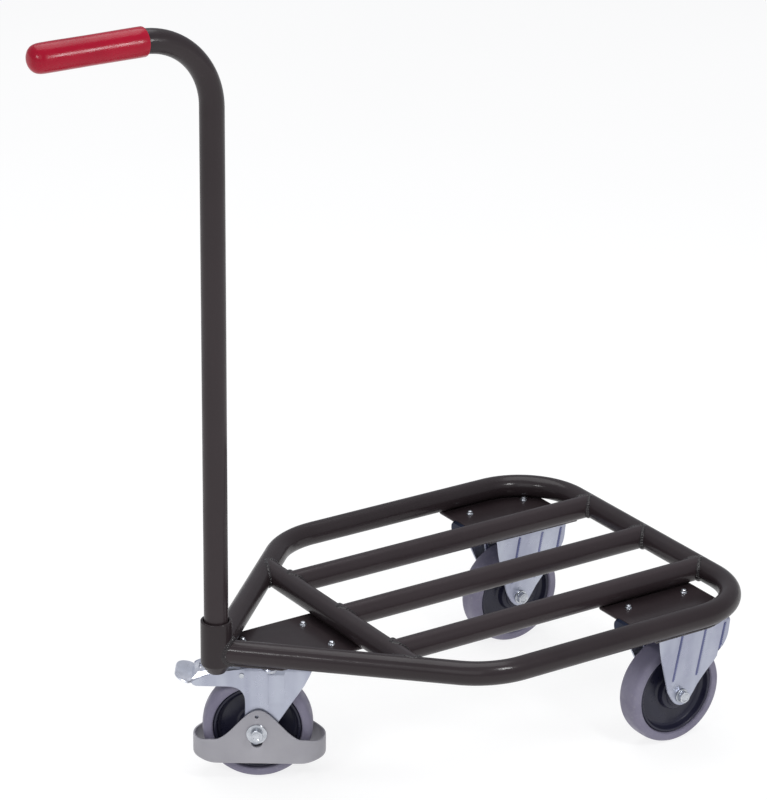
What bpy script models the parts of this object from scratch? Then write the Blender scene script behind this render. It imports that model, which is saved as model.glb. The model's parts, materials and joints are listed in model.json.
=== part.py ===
"""A small platform cart: a welded tube deck on three castors, with a plug-in push handle.

Units are metres and +Z is up.  The frame is drawn around the axis of the handle's post, with
+X towards the rear of the cart, and an empty moves it so that the origin lies on the floor
under the middle of the whole cart.
"""

import math

import bmesh
import bpy
from mathutils import Matrix, Vector
from mathutils.geometry import tessellate_polygon

# Gap left between pieces that touch on the real cart, and the wider one at a shaped tube end.
GAP = 0.0003
END_GAP = 0.0005

# Round steel tube of the deck and of the handle.
TUBE_R = 0.0135
TUBE_WALL = 0.002
TUBE_SIDES = 20
TUBE_Z = 0.176
BEND_R = 0.080
FRONT_BEND_R = 0.095
BEND_STEPS = 6

# Deck outline, measured from the axis of the post.
CORNER_X = 0.2225
SIDE_Y = 0.216
REAR_X = 0.592
CROSS_X = 0.160
DECK_TUBE_Y = 0.108

# Socket that the handle plugs into.
SOCKET_R = 0.0175
SOCKET_BORE_R = 0.0143
SOCKET_TOP = 0.2135
SOCKET_FLOOR = 0.165
SOCKET_CONE_TOP = 0.1615
SOCKET_FOOT_R = 0.0098
SOCKET_FOOT_Z = 0.150

# Plates welded under the tubes.
PLATE_T = 0.004
PLATE_TOP = TUBE_Z - TUBE_R - GAP
PLATE_LOW = PLATE_TOP - PLATE_T
FRONT_PLATE_Y = 0.052
FRONT_PLATE_BACK = 0.168
REAR_PLATE_FRONT = 0.4465
REAR_PLATE_BACK = 0.574
REAR_PLATE_IN = 0.1115
REAR_PLATE_OUT = 0.2165
TAB_FRONT = 0.4420
TAB_IN = 0.143
TAB_OUT = 0.186
TAB_DROP = 0.011
TAB_T = 0.0065

# Handle.
GRIP_AXIS_Z = 0.884
HANDLE_BEND_R = 0.082
GRIP_INNER_X = -0.080
GRIP_OUTER_X = -0.213
GRIP_R = 0.016
GRIP_END_WALL = 0.006

# Castors.
FRONT_CASTOR_X = 0.092
REAR_CASTOR_X = 0.512
REAR_CASTOR_Y = 0.160
SWIVEL_ANGLE = math.radians(146)
TRAIL = 0.033
WHEEL_R = 0.0625
WHEEL_HALF = 0.016
RIM_R = 0.0500
HUB_R = 0.0155
HUB_HALF = 0.0195
WHEEL_STEPS = 36

# Castor plate and its bolts.
TOP_PLATE_LENGTH = 0.105
TOP_PLATE_WIDTH = 0.085
TOP_PLATE_T = 0.003
TOP_PLATE_HIGH = PLATE_LOW - GAP
TOP_PLATE_LOW = TOP_PLATE_HIGH - TOP_PLATE_T
BOLT_X = 0.040
BOLT_Y = 0.030
BOLT_R = 0.004
BOLT_HOLE_R = 0.0045
BOLT_TIP = PLATE_TOP + 0.0042
HEX_HALF = 0.0065
HEX_HEIGHT = 0.0055

# Sheet of the forks, with the half distance between the outer faces of the cheeks.
SHEET_T = 0.0025
REAR_CHEEK_Y = 0.024
FRONT_CHEEK_Y = 0.026
AXLE_HOLE_R = 0.0043
SLEEVE_R = 0.006
BEARING_R = 0.011
BEARING_WIDTH = 0.007

# Swivel head of the front castor.
CROWN_TOP = 0.1437
RACE_R = 0.033
RACE_SPLIT_Z = 0.1493
KINGPIN_R = 0.006
KINGPIN_HEAD_R = 0.011
KINGPIN_HEAD_Z = (0.1366, 0.1408)

# Wheel brake.
PIVOT_X = 0.050
PIVOT_Z = 0.133
PIVOT_R = 0.003
EYE_R = 0.0058
LEVER_T = 0.0025
LEVER_HALF = 0.019
PEDAL_HALF = 0.026

# Foot guard round the front wheel.
GUARD_OUTER_HALF = 0.030
GUARD_WALL = 0.0028
GUARD_MIDDLE_X = 0.0312
GUARD_HALF_LENGTH = 0.0752
GUARD_CORNER_R = 0.0296
GUARD_LOW = 0.025
GUARD_RIM = 0.0545
GUARD_CREST = 0.0915
GUARD_END_DROP = 0.0045
GUARD_END_RISE = 0.002


# ---------------------------------------------------------------- small tools


def clear_scene():
    for obj in list(bpy.data.objects):
        bpy.data.objects.remove(obj)


def material(name, colour, roughness, metallic):
    made = bpy.data.materials.new(name)
    made.use_nodes = True
    shader = made.node_tree.nodes["Principled BSDF"]
    shader.inputs["Base Color"].default_value = (*colour, 1.0)
    shader.inputs["Roughness"].default_value = roughness
    shader.inputs["Metallic"].default_value = metallic
    return made


def empty(name, location, parent=None, turn=0.0):
    made = bpy.data.objects.new(name, None)
    made.location = location
    made.rotation_euler = (0.0, 0.0, turn)
    made.parent = parent
    bpy.context.scene.collection.objects.link(made)
    return made


def add_object(name, bm, finish, parent=None, location=(0.0, 0.0, 0.0)):
    """Turns a bmesh into a smooth-shaded object of its own."""
    bmesh.ops.remove_doubles(bm, verts=bm.verts, dist=1e-6)
    bmesh.ops.recalc_face_normals(bm, faces=bm.faces)
    mesh = bpy.data.meshes.new(name)
    bm.to_mesh(mesh)
    bm.free()
    mesh.shade_smooth()
    mesh.set_sharp_from_angle(angle=math.radians(40))
    mesh.materials.append(finish)
    made = bpy.data.objects.new(name, mesh)
    made.location = location
    made.parent = parent
    bpy.context.scene.collection.objects.link(made)
    return made


def helper(name, bm, parent=None, location=(0.0, 0.0, 0.0)):
    """A cutter or a shape to join, which isn't a piece of the cart itself."""
    bmesh.ops.recalc_face_normals(bm, faces=bm.faces)
    mesh = bpy.data.meshes.new(name)
    bm.to_mesh(mesh)
    bm.free()
    made = bpy.data.objects.new(name, mesh)
    made.location = location
    made.parent = parent
    made.hide_render = True
    made.display_type = "WIRE"
    bpy.context.scene.collection.objects.link(made)
    return made


def boolean(obj, other, operation):
    modifier = obj.modifiers.new(other.name, "BOOLEAN")
    modifier.operation = operation
    modifier.solver = "EXACT"
    modifier.object = other


def loft(rings, loop=False):
    """Joins rings with the same number of points into one skin."""
    bm = bmesh.new()
    made = [[bm.verts.new(point) for point in ring] for ring in rings]
    pairs = list(zip(made, made[1:]))
    if loop:
        pairs.append((made[-1], made[0]))
    for first, second in pairs:
        count = len(first)
        for k in range(count):
            after = (k + 1) % count
            bm.faces.new((first[k], first[after], second[after], second[k]))
    if not loop:
        bm.faces.new(made[0][::-1])
        bm.faces.new(made[-1])
    return bm


def ring_points(radius, z, steps, hexagon=False):
    """A circle, or with 12 steps a hexagon whose flats are the radius away from the axis."""
    points = []
    for k in range(steps):
        angle = math.tau * k / steps
        reach = radius / math.cos(math.pi / 6) if hexagon and k % 2 == 0 else radius
        points.append(Vector((reach * math.cos(angle), reach * math.sin(angle), z)))
    return points


def turned(profile, steps):
    """Turns a closed (radius, height) outline about Z."""
    rings = []
    for k in range(steps):
        angle = math.tau * k / steps
        side = Vector((math.cos(angle), math.sin(angle), 0.0))
        rings.append([side * radius + Vector((0.0, 0.0, z)) for radius, z in profile])
    return loft(rings, loop=True)


def solid_turned(profile, steps):
    """Stacks circles of the given (radius, height) pairs into a solid pin."""
    return loft([ring_points(radius, z, steps) for radius, z in profile])


def prism(loops, low, high):
    """A flat plate with an outline and holes, all given as lists of (x, y)."""
    bm = bmesh.new()
    layers = []
    for z in (low, high):
        layers.append([[bm.verts.new((x, y, z)) for x, y in loop] for loop in loops])
    flat = [[Vector((x, y, 0.0)) for x, y in loop] for loop in loops]
    for layer in layers:
        every = [vert for loop in layer for vert in loop]
        for corners in tessellate_polygon(flat):
            bm.faces.new([every[k] for k in corners])
    for lower, upper in zip(*layers):
        count = len(lower)
        for k in range(count):
            after = (k + 1) % count
            bm.faces.new((lower[k], lower[after], upper[after], upper[k]))
    return bm


def circle(x, y, radius, steps):
    """Points of a circle in the plane."""
    angles = [math.tau * k / steps for k in range(steps)]
    return [(x + radius * math.cos(a), y + radius * math.sin(a)) for a in angles]


def slot(x, y, radius, reach, steps, along_x=True):
    """Points of a slot whose two round ends have their centres reach away from the middle."""
    points = []
    for end in (1, -1):
        for k in range(steps + 1):
            angle = math.pi * k / steps - math.pi / 2 + (0 if end == 1 else math.pi)
            a = end * reach + radius * math.cos(angle)
            b = radius * math.sin(angle)
            points.append((x + a, y + b) if along_x else (x - b, y + a))
    return points


def arc(x, y, radius, start, stop, steps):
    """Points on an arc, with the angles in degrees."""
    points = []
    for k in range(steps + 1):
        angle = math.radians(start + (stop - start) * k / steps)
        points.append((x + radius * math.cos(angle), y + radius * math.sin(angle)))
    return points


def rounded_box(x0, x1, y0, y1, radius, steps=3):
    """Outline of a rectangle with round corners."""
    return (
        arc(x1 - radius, y0 + radius, radius, -90, 0, steps)
        + arc(x1 - radius, y1 - radius, radius, 0, 90, steps)
        + arc(x0 + radius, y1 - radius, radius, 90, 180, steps)
        + arc(x0 + radius, y0 + radius, radius, 180, 270, steps)
    )


def stretch(bm, matrix):
    bmesh.ops.transform(bm, matrix=matrix, verts=bm.verts)
    return bm


def across(bm):
    """Lays a piece that was made along Z down along Y."""
    return stretch(bm, Matrix.Rotation(math.radians(90), 4, "X"))


# ---------------------------------------------------------------------- tubes


def bent_path(corners, radii, steps):
    """(point, direction) stations along straight runs joined by round bends."""
    stations = [(corners[0], (corners[1] - corners[0]).normalized())]
    for before, corner, after, radius in zip(corners, corners[1:], corners[2:], radii):
        into = (corner - before).normalized()
        out = (after - corner).normalized()
        turn = into.angle(out)
        start = corner - into * (radius * math.tan(turn / 2))
        inward = (out - into * into.dot(out)).normalized()
        centre = start + inward * radius
        for k in range(steps + 1):
            angle = turn * k / steps
            point = centre - inward * (radius * math.cos(angle)) + into * (radius * math.sin(angle))
            stations.append((point, into * math.cos(angle) + inward * math.sin(angle)))
    stations.append((corners[-1], (corners[-1] - corners[-2]).normalized()))
    return stations


def tube(stations, binormal, start_fit=None, end_fit=None):
    """A hollow tube with open ends.  A fit moves each end point along the tube to its place."""
    fits = {0: start_fit, len(stations) - 1: end_fit}
    skins = []
    for radius in (TUBE_R, TUBE_R - TUBE_WALL):
        rings = []
        for index, (point, along) in enumerate(stations):
            normal = binormal.cross(along).normalized()
            ring = []
            for k in range(TUBE_SIDES):
                angle = math.tau * (k + 0.5) / TUBE_SIDES
                spoke = normal * math.cos(angle) + binormal * math.sin(angle)
                place = point + spoke * radius
                fit = fits.get(index)
                ring.append(fit(place, along) if fit else place)
            rings.append(ring)
        skins.append(rings)
    outer, inner = skins
    return loft(outer + inner[::-1], loop=True)


def until_tube(point, along, axis_point, axis, radius):
    """Slides a point along a line to the near side of another tube."""
    offset = point - axis_point
    a = along - axis * along.dot(axis)
    b = offset - axis * offset.dot(axis)
    half = a.dot(b)
    square = a.dot(a)
    root = math.sqrt(half * half - square * (b.dot(b) - radius * radius))
    steps = ((-half - root) / square, (-half + root) / square)
    return point + along * min(steps, key=abs)


def saddle(axis_point, axis, radius=TUBE_R + END_GAP):
    """A fit that shapes a tube's end to sit round another tube."""
    return lambda point, along: until_tube(point, along, axis_point, axis, radius)


def make_loop(finish, parent):
    """The outer tube of the deck, from the socket round the deck and back to the socket."""
    post = Vector((0.0, 0.0, TUBE_Z))
    corners = [
        post,
        Vector((CORNER_X, -SIDE_Y, TUBE_Z)),
        Vector((REAR_X, -SIDE_Y, TUBE_Z)),
        Vector((REAR_X, SIDE_Y, TUBE_Z)),
        Vector((CORNER_X, SIDE_Y, TUBE_Z)),
        post,
    ]
    upright = Vector((0.0, 0.0, 1.0))

    def socket_end(side):
        """Shapes an end round the socket and against the other end of the same tube."""

        def fit(point, along):
            away = along if side * along.y > 0 else -along
            spot = until_tube(point + away * 0.03, away, post, upright, SOCKET_R + END_GAP)
            short = GAP / 2 - side * spot.y
            if short > 0:
                spot = spot + away * (short / abs(away.y))
            return spot

        return fit

    radii = [FRONT_BEND_R, BEND_R, BEND_R, FRONT_BEND_R]
    stations = bent_path(corners, radii, BEND_STEPS)
    bm = tube(stations, upright, socket_end(-1), socket_end(1))
    return add_object("frame_loop", bm, finish, parent)


def make_cross_tube(finish, parent):
    """The front cross tube, whose ends sit against the two slanting sides of the loop."""
    lean = Vector((CORNER_X, SIDE_Y, 0.0)).normalized()
    mirrored = Vector((lean.x, -lean.y, 0.0))
    reach = CROSS_X * SIDE_Y / CORNER_X - 0.018
    stations = [
        (Vector((CROSS_X, -reach, TUBE_Z)), Vector((0.0, 1.0, 0.0))),
        (Vector((CROSS_X, reach, TUBE_Z)), Vector((0.0, 1.0, 0.0))),
    ]
    post = Vector((0.0, 0.0, TUBE_Z))
    bm = tube(stations, Vector((0.0, 0.0, 1.0)), saddle(post, mirrored), saddle(post, lean))
    return add_object("front_cross_tube", bm, finish, parent)


def make_deck_tubes(finish, parent):
    """The three tubes that carry the load."""
    sideways = Vector((0.0, 1.0, 0.0))
    front = saddle(Vector((CROSS_X, 0.0, TUBE_Z)), sideways)
    back = saddle(Vector((REAR_X, 0.0, TUBE_Z)), sideways)
    rearward = Vector((1.0, 0.0, 0.0))
    for name, y in (("right", -DECK_TUBE_Y), ("middle", 0.0), ("left", DECK_TUBE_Y)):
        stations = [
            (Vector((CROSS_X + TUBE_R, y, TUBE_Z)), rearward),
            (Vector((REAR_X - TUBE_R, y, TUBE_Z)), rearward),
        ]
        bm = tube(stations, Vector((0.0, 0.0, 1.0)), front, back)
        add_object(f"deck_tube_{name}", bm, finish, parent)


def make_handle(finish, grip_finish, parent):
    """The push handle, a bent tube that lifts out of the socket, and its grip."""
    foot = SOCKET_FLOOR + GAP
    end_x = GRIP_OUTER_X + GRIP_END_WALL + GAP
    corners = [
        Vector((0.0, 0.0, 0.0)),
        Vector((0.0, 0.0, GRIP_AXIS_Z - foot)),
        Vector((end_x, 0.0, GRIP_AXIS_Z - foot)),
    ]
    stations = bent_path(corners, [HANDLE_BEND_R], BEND_STEPS)
    bm = tube(stations, Vector((0.0, 1.0, 0.0)))
    handle = add_object("handle_tube", bm, finish, parent, (0.0, 0.0, foot))

    length = GRIP_INNER_X - GRIP_OUTER_X
    bore = TUBE_R + GAP
    closed = GRIP_END_WALL
    profile = [
        (GRIP_R - 0.0075, 0.0),
        (GRIP_R - 0.0032, 0.0012),
        (GRIP_R - 0.0008, 0.0042),
        (GRIP_R, 0.0085),
        (GRIP_R, length - 0.0020),
        (GRIP_R - 0.0006, length - 0.0006),
        (GRIP_R - 0.0014, length),
        (bore, length),
        (bore, closed),
    ]
    rings = [ring_points(radius, z, 28) for radius, z in profile]
    bm = stretch(loft(rings), Matrix.Rotation(math.radians(90), 4, "Y"))
    place = (GRIP_OUTER_X, 0.0, GRIP_AXIS_Z - foot)
    add_object("handle_grip", bm, grip_finish, handle, place)


def make_socket(finish, parent):
    """The blind socket at the front of the deck."""
    profile = [
        (SOCKET_FOOT_R, SOCKET_FOOT_Z),
        (SOCKET_R, SOCKET_CONE_TOP),
        (SOCKET_R, SOCKET_TOP - 0.0025),
        (SOCKET_R - 0.0007, SOCKET_TOP - 0.0007),
        (SOCKET_R - 0.0020, SOCKET_TOP),
        (SOCKET_BORE_R, SOCKET_TOP - 0.0010),
        (SOCKET_BORE_R, SOCKET_FLOOR),
    ]
    return add_object("handle_socket", solid_turned(profile, 28), finish, parent)


# --------------------------------------------------------------- frame plates


def castor_holes(x, y):
    """The four bolt holes of one castor."""
    places = [(sx * BOLT_X, sy * BOLT_Y) for sx in (-1, 1) for sy in (-1, 1)]
    return [circle(x + dx, y + dy, BOLT_HOLE_R, 12) for dx, dy in places]


def make_front_plate(finish, parent):
    """Plate between the slanting tubes, hollowed to fit round the socket."""
    slope = SIDE_Y / CORNER_X
    angle = math.degrees(math.atan(slope))
    nose = arc(0.0, 0.0, SOCKET_R + GAP, angle, -angle, 6)
    outline = nose + [
        (FRONT_PLATE_Y / slope, -FRONT_PLATE_Y),
        (FRONT_PLATE_BACK, -FRONT_PLATE_Y),
        (FRONT_PLATE_BACK, FRONT_PLATE_Y),
        (FRONT_PLATE_Y / slope, FRONT_PLATE_Y),
    ]
    bm = prism([outline] + castor_holes(FRONT_CASTOR_X, 0.0), PLATE_LOW, PLATE_TOP)
    return add_object("front_castor_plate", bm, finish, parent)


def make_rear_plate(name, side, finish, parent):
    """Plate under a side tube and an outer deck tube, with a small tab turned down in front."""
    bend_x = REAR_X - BEND_R
    bend_y = SIDE_Y - BEND_R
    edge = REAR_PLATE_OUT - bend_y
    stop = math.degrees(math.acos((REAR_PLATE_BACK - bend_x) / edge))
    outline = [(REAR_PLATE_FRONT, REAR_PLATE_IN), (REAR_PLATE_BACK, REAR_PLATE_IN)]
    outline += arc(bend_x, bend_y, edge, stop, 90, 6)
    outline += [(REAR_PLATE_FRONT, REAR_PLATE_OUT)]
    loops = [outline] + castor_holes(REAR_CASTOR_X, REAR_CASTOR_Y)
    loops = [[(x, side * y) for x, y in loop] for loop in loops]
    plate = add_object(name, prism(loops, PLATE_LOW, PLATE_TOP), finish, parent)

    # The tab is drawn flat as (y, z) and then stood up across the cart.
    drop = PLATE_LOW - TAB_DROP
    sunk = PLATE_LOW + PLATE_T / 2
    face = [(TAB_IN, sunk)] + arc(TAB_IN + 0.005, drop + 0.005, 0.005, 180, 270, 3)
    face += arc(TAB_OUT - 0.005, drop + 0.005, 0.005, 270, 360, 3) + [(TAB_OUT, sunk)]
    bm = prism([[(side * y, z) for y, z in face]], 0.0, TAB_T)
    stand = Matrix(((0, 0, 1, TAB_FRONT), (1, 0, 0, 0), (0, 1, 0, 0), (0, 0, 0, 1)))
    tab = helper(f"{name}_tab_shape", stretch(bm, stand), parent)
    boolean(plate, tab, "UNION")
    return plate


def make_plate_bolts(name, finish, parent):
    """Four bolts that hold a castor, with their tips standing above the plate."""
    head_top = TOP_PLATE_LOW - GAP
    sections = [
        ring_points(HEX_HALF - 0.0008, head_top - HEX_HEIGHT, 12, hexagon=True),
        ring_points(HEX_HALF, head_top - HEX_HEIGHT + 0.0008, 12, hexagon=True),
        ring_points(HEX_HALF, head_top, 12, hexagon=True),
        ring_points(BOLT_R, head_top, 12),
        ring_points(BOLT_R, BOLT_TIP - 0.0014, 12),
        ring_points(BOLT_R - 0.0014, BOLT_TIP, 12),
    ]
    places = [(sx * BOLT_X, sy * BOLT_Y) for sx in (-1, 1) for sy in (-1, 1)]
    for number, (x, y) in enumerate(places, start=1):
        add_object(f"{name}_bolt_{number}", loft(sections), finish, parent, (x, y, 0.0))


# --------------------------------------------------------------------- wheels


def make_wheel(name, finishes, parent):
    """Rim, tyre, bearings, and the sleeve and axle bolt that they turn on."""
    hub = empty(f"{name}_axle_line", (0.0, 0.0, WHEEL_R), parent)
    half = WHEEL_HALF
    tyre_seat = RIM_R + GAP
    tyre = [
        (tyre_seat, -half + 0.0025),
        (tyre_seat + 0.002, -half),
        (WHEEL_R - 0.0065, -half),
        (WHEEL_R - 0.0028, -half + 0.0015),
        (WHEEL_R - 0.0008, -half + 0.0050),
        (WHEEL_R, -half + 0.0105),
        (WHEEL_R, half - 0.0105),
        (WHEEL_R - 0.0008, half - 0.0050),
        (WHEEL_R - 0.0028, half - 0.0015),
        (WHEEL_R - 0.0065, half),
        (tyre_seat + 0.002, half),
        (tyre_seat, half - 0.0025),
    ]
    add_object(f"{name}_tyre", across(turned(tyre, WHEEL_STEPS)), finishes["tyre"], hub)

    bore = BEARING_R + GAP
    rim = []
    for side in (-1, 1):
        face = [
            (bore, side * HUB_HALF),
            (HUB_R, side * HUB_HALF),
            (HUB_R + 0.0012, side * 0.0070),
            (0.0330, side * 0.0060),
            (0.0355, side * 0.0085),
            (0.0420, side * (half - 0.0045)),
            (RIM_R - 0.0015, side * (half - 0.0030)),
            (RIM_R, side * (half - 0.0042)),
        ]
        rim += face if side == -1 else face[::-1]
    add_object(f"{name}_rim", across(turned(rim, WHEEL_STEPS)), finishes["rim"], hub)

    inner = SLEEVE_R + GAP
    face = BEARING_WIDTH / 2
    bearing = [
        (inner, -face),
        (inner + 0.0012, -face),
        (BEARING_R - 0.0012, 0.0008 - face),
        (BEARING_R, -face),
        (BEARING_R, face),
        (BEARING_R - 0.0012, face - 0.0008),
        (inner + 0.0012, face),
        (inner, face),
    ]
    for label, side in (("left", 1), ("right", -1)):
        place = (0.0, side * (HUB_HALF - BEARING_WIDTH / 2), 0.0)
        bm = across(turned(bearing, 16))
        add_object(f"{name}_bearing_{label}", bm, finishes["steel"], hub, place)
    return hub


def make_axle(name, cheek_y, guard_y, head_side, finishes, hub):
    """Sleeve between the cheeks, with the bolt and the nut that clamp it."""
    sleeve_half = cheek_y - SHEET_T - GAP
    sleeve = [
        (BOLT_R + GAP, -sleeve_half),
        (SLEEVE_R, -sleeve_half),
        (SLEEVE_R, sleeve_half),
        (BOLT_R + GAP, sleeve_half),
    ]
    add_object(f"{name}_axle_sleeve", across(turned(sleeve, 16)), finishes["steel"], hub)

    seat = guard_y + GAP
    flange_r = 0.0118 if guard_y > cheek_y else 0.0085
    bolt = [
        ring_points(HEX_HALF - 0.0010, seat + 0.0014 + HEX_HEIGHT, 12, hexagon=True),
        ring_points(HEX_HALF, seat + 0.0014 + HEX_HEIGHT - 0.0010, 12, hexagon=True),
        ring_points(HEX_HALF, seat + 0.0014, 12, hexagon=True),
        ring_points(flange_r, seat + 0.0014, 12),
        ring_points(flange_r, seat, 12),
        ring_points(BOLT_R, seat, 12),
        ring_points(BOLT_R, -seat - 0.0088, 12),
        ring_points(BOLT_R - 0.0010, -seat - 0.0098, 12),
    ]
    bm = across(loft(bolt))
    if head_side > 0:
        bm = stretch(bm, Matrix.Rotation(math.pi, 4, "Z"))
    add_object(f"{name}_axle_bolt", bm, finishes["steel"], hub)

    nut = [
        ring_points(BOLT_R + GAP, -seat, 12),
        ring_points(HEX_HALF, -seat, 12, hexagon=True),
        ring_points(HEX_HALF, -seat - 0.0060, 12, hexagon=True),
        ring_points(HEX_HALF - 0.0010, -seat - 0.0068, 12, hexagon=True),
        ring_points(BOLT_R + GAP, -seat - 0.0068, 12),
    ]
    bm = across(loft(nut, loop=True))
    if head_side > 0:
        bm = stretch(bm, Matrix.Rotation(math.pi, 4, "Z"))
    add_object(f"{name}_axle_nut", bm, finishes["steel"], hub)


def strap(stations, thickness):
    """A pressed sheet, symmetric about the wheel's plane.

    Each station is (y, z, front x, back x) on the outer face, from the foot of one cheek up to
    the middle of the top.  The other half mirrors it.
    """
    half = [(Vector((0.0, y, z)), front, back) for y, z, front, back in stations]
    whole = half + [(Vector((0.0, -p.y, p.z)), front, back) for p, front, back in reversed(half)]
    sections = []
    for index, (point, front, back) in enumerate(whole):
        before = whole[max(index - 1, 0)][0]
        after = whole[min(index + 1, len(whole) - 1)][0]
        steps = [(b - a).normalized() for a, b in ((before, point), (point, after)) if a != b]
        along = sum(steps, Vector((0.0, 0.0, 0.0))).normalized()
        depth = thickness / along.dot(steps[0])
        inside = point + Vector((0.0, -along.z, along.y)) * depth
        sections.append(
            [
                Vector((front, point.y, point.z)),
                Vector((back, point.y, point.z)),
                Vector((back, inside.y, inside.z)),
                Vector((front, inside.y, inside.z)),
            ]
        )
    return loft(sections)


def bore_along_y(name, radius, x, z, reach, parent, steps=16):
    """A round cutter across a castor."""
    bm = across(solid_turned([(radius, -reach), (radius, reach)], steps))
    return helper(name, bm, parent, (x, 0.0, z))


def make_rear_fork(name, finish, parent):
    """One-piece pressed fork: a flat top plate whose long sides slant down into two cheeks."""
    edge = TOP_PLATE_WIDTH / 2
    front = -TOP_PLATE_LENGTH / 2
    back = TOP_PLATE_LENGTH / 2
    upright_to = WHEEL_R + 0.010
    slant = (edge - REAR_CHEEK_Y) / (TOP_PLATE_HIGH - upright_to)
    outline = [
        (0.0518, -0.0036, 0.0062),
        (0.0538, -0.0080, 0.0098),
        (0.0600, -0.0130, 0.0146),
        (upright_to, -0.0200, 0.0230),
        (0.0858, -0.0252, 0.0312),
        (0.1005, -0.0309, 0.0415),
        (0.1180, -0.0375, 0.0498),
        (0.1310, -0.0420, 0.0535),
        (0.1450, -0.0460, 0.0530),
    ]
    stations = []
    for z, x_front, x_back in outline:
        stations.append((REAR_CHEEK_Y + slant * max(z - upright_to, 0.0), z, x_front, x_back))
    stations += [
        (edge - 0.0012, TOP_PLATE_HIGH - 0.0045, front + 0.003, back),
        (edge - 0.0026, TOP_PLATE_HIGH - 0.0012, front + 0.0008, back),
        (edge - 0.0050, TOP_PLATE_HIGH, front, back),
    ]
    fork = add_object(name, strap(stations, SHEET_T), finish, parent)
    axle = bore_along_y(f"{name}_axle_hole", AXLE_HOLE_R, 0.0, WHEEL_R, 0.06, parent)
    boolean(fork, axle, "DIFFERENCE")
    for number, loop in enumerate(castor_holes(0.0, 0.0), start=1):
        bm = prism([loop], TOP_PLATE_HIGH - 0.008, TOP_PLATE_HIGH + 0.004)
        boolean(fork, helper(f"{name}_bolt_hole_{number}", bm, parent), "DIFFERENCE")


def make_fixed_castor(name, y, finishes, root):
    """A castor that doesn't swivel."""
    base = empty(f"{name}_base", (REAR_CASTOR_X, y, 0.0), root)
    make_rear_fork(f"{name}_fork", finishes["zinc"], base)
    hub = make_wheel(name, finishes, base)
    make_axle(name, REAR_CHEEK_Y, REAR_CHEEK_Y, -1, finishes, hub)
    make_plate_bolts(name, finishes["steel"], base)


# --------------------------------------------------------------- front castor


def make_swivel_head(finishes, base, turning):
    """Top plate, kingpin and the two halves of the swivel bearing."""
    half_x = TOP_PLATE_LENGTH / 2
    half_y = TOP_PLATE_WIDTH / 2
    outline = rounded_box(-half_x, half_x, -half_y, half_y, 0.006)
    loops = [outline, circle(0.0, 0.0, KINGPIN_R + GAP, 20)] + castor_holes(0.0, 0.0)
    bm = prism(loops, TOP_PLATE_LOW, TOP_PLATE_HIGH)
    add_object("front_castor_top_plate", bm, finishes["zinc"], base)

    low, high = KINGPIN_HEAD_Z
    pin = [
        (KINGPIN_HEAD_R - 0.0020, low),
        (KINGPIN_HEAD_R, low + 0.0015),
        (KINGPIN_HEAD_R, high),
        (KINGPIN_R, high),
        (KINGPIN_R, TOP_PLATE_HIGH - GAP),
    ]
    add_object("front_castor_kingpin", solid_turned(pin, 20), finishes["steel"], base)

    bore = KINGPIN_R + GAP
    top = TOP_PLATE_LOW - GAP
    upper = [
        (bore, RACE_SPLIT_Z + GAP),
        (RACE_R - 0.0070, RACE_SPLIT_Z + GAP),
        (RACE_R, RACE_SPLIT_Z + 0.0020),
        (RACE_R - 0.0010, top),
        (bore, top),
    ]
    add_object("front_castor_upper_race", turned(upper, 32), finishes["zinc"], base)
    lower = [
        (bore, CROWN_TOP + GAP),
        (RACE_R - 0.0050, CROWN_TOP + GAP),
        (RACE_R - 0.0020, CROWN_TOP + 0.0025),
        (RACE_R - 0.0080, RACE_SPLIT_Z),
        (bore, RACE_SPLIT_Z),
    ]
    add_object("front_castor_lower_race", turned(lower, 32), finishes["zinc"], turning)


def make_swivel_fork(finish, turning):
    """Pressed fork whose cheeks run on into two arms that hold the brake lever."""
    y = FRONT_CHEEK_Y
    stations = [
        (y, 0.0485, 0.0300, 0.0400),
        (y, 0.0510, 0.0252, 0.0440),
        (y, 0.0560, 0.0210, 0.0462),
        (y, 0.0660, 0.0153, 0.0465),
        (y, 0.0780, 0.0077, 0.0460),
        (y, 0.1010, -0.0069, 0.0460),
        (y, 0.1090, -0.0120, 0.0476),
        (y, 0.1150, -0.0158, 0.0520),
        (y, 0.1182, -0.0178, 0.0585),
        (y, 0.1192, -0.0184, 0.0660),
        (y, 0.1194, -0.0186, 0.1010),
        (y, 0.1212, -0.0198, 0.1045),
        (y, 0.1250, -0.0215, 0.1050),
        (y, 0.1330, -0.0255, 0.0870),
        (y - 0.0002, 0.1382, -0.0276, 0.0660),
        (y - 0.0012, 0.1412, -0.0282, 0.0480),
        (y - 0.0035, CROWN_TOP - 0.0006, -0.0284, 0.0330),
        (y - 0.0060, CROWN_TOP, -0.0284, 0.0310),
    ]
    fork = add_object("front_castor_fork", strap(stations, SHEET_T), finish, turning)
    axle = bore_along_y("front_axle_hole", AXLE_HOLE_R, TRAIL, WHEEL_R, 0.06, turning)
    boolean(fork, axle, "DIFFERENCE")
    pivot = bore_along_y("front_pivot_hole", PIVOT_R + GAP, PIVOT_X, PIVOT_Z, 0.06, turning, 12)
    boolean(fork, pivot, "DIFFERENCE")
    bm = solid_turned([(KINGPIN_R + GAP, CROWN_TOP - 0.01), (KINGPIN_R + GAP, CROWN_TOP + 0.01)], 20)
    boolean(fork, helper("kingpin_hole", bm, turning), "DIFFERENCE")


def eased(share):
    """A smooth step from zero to one."""
    share = min(max(share, 0.0), 1.0)
    return share * share * (3 - 2 * share)


def guard_end(x):
    """Zero along the sides of the guard, and one at its two round ends."""
    return eased((abs(x - GUARD_MIDDLE_X) - 0.050) / 0.022)


def guard_top(x):
    """Height of the guard's upper edge, which rises to a bell shape at the axle."""
    reach = abs(x - GUARD_MIDDLE_X)
    bell = eased((0.050 - reach) / 0.050)
    return GUARD_RIM + (GUARD_CREST - GUARD_RIM) * bell - GUARD_END_DROP * guard_end(x)


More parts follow.
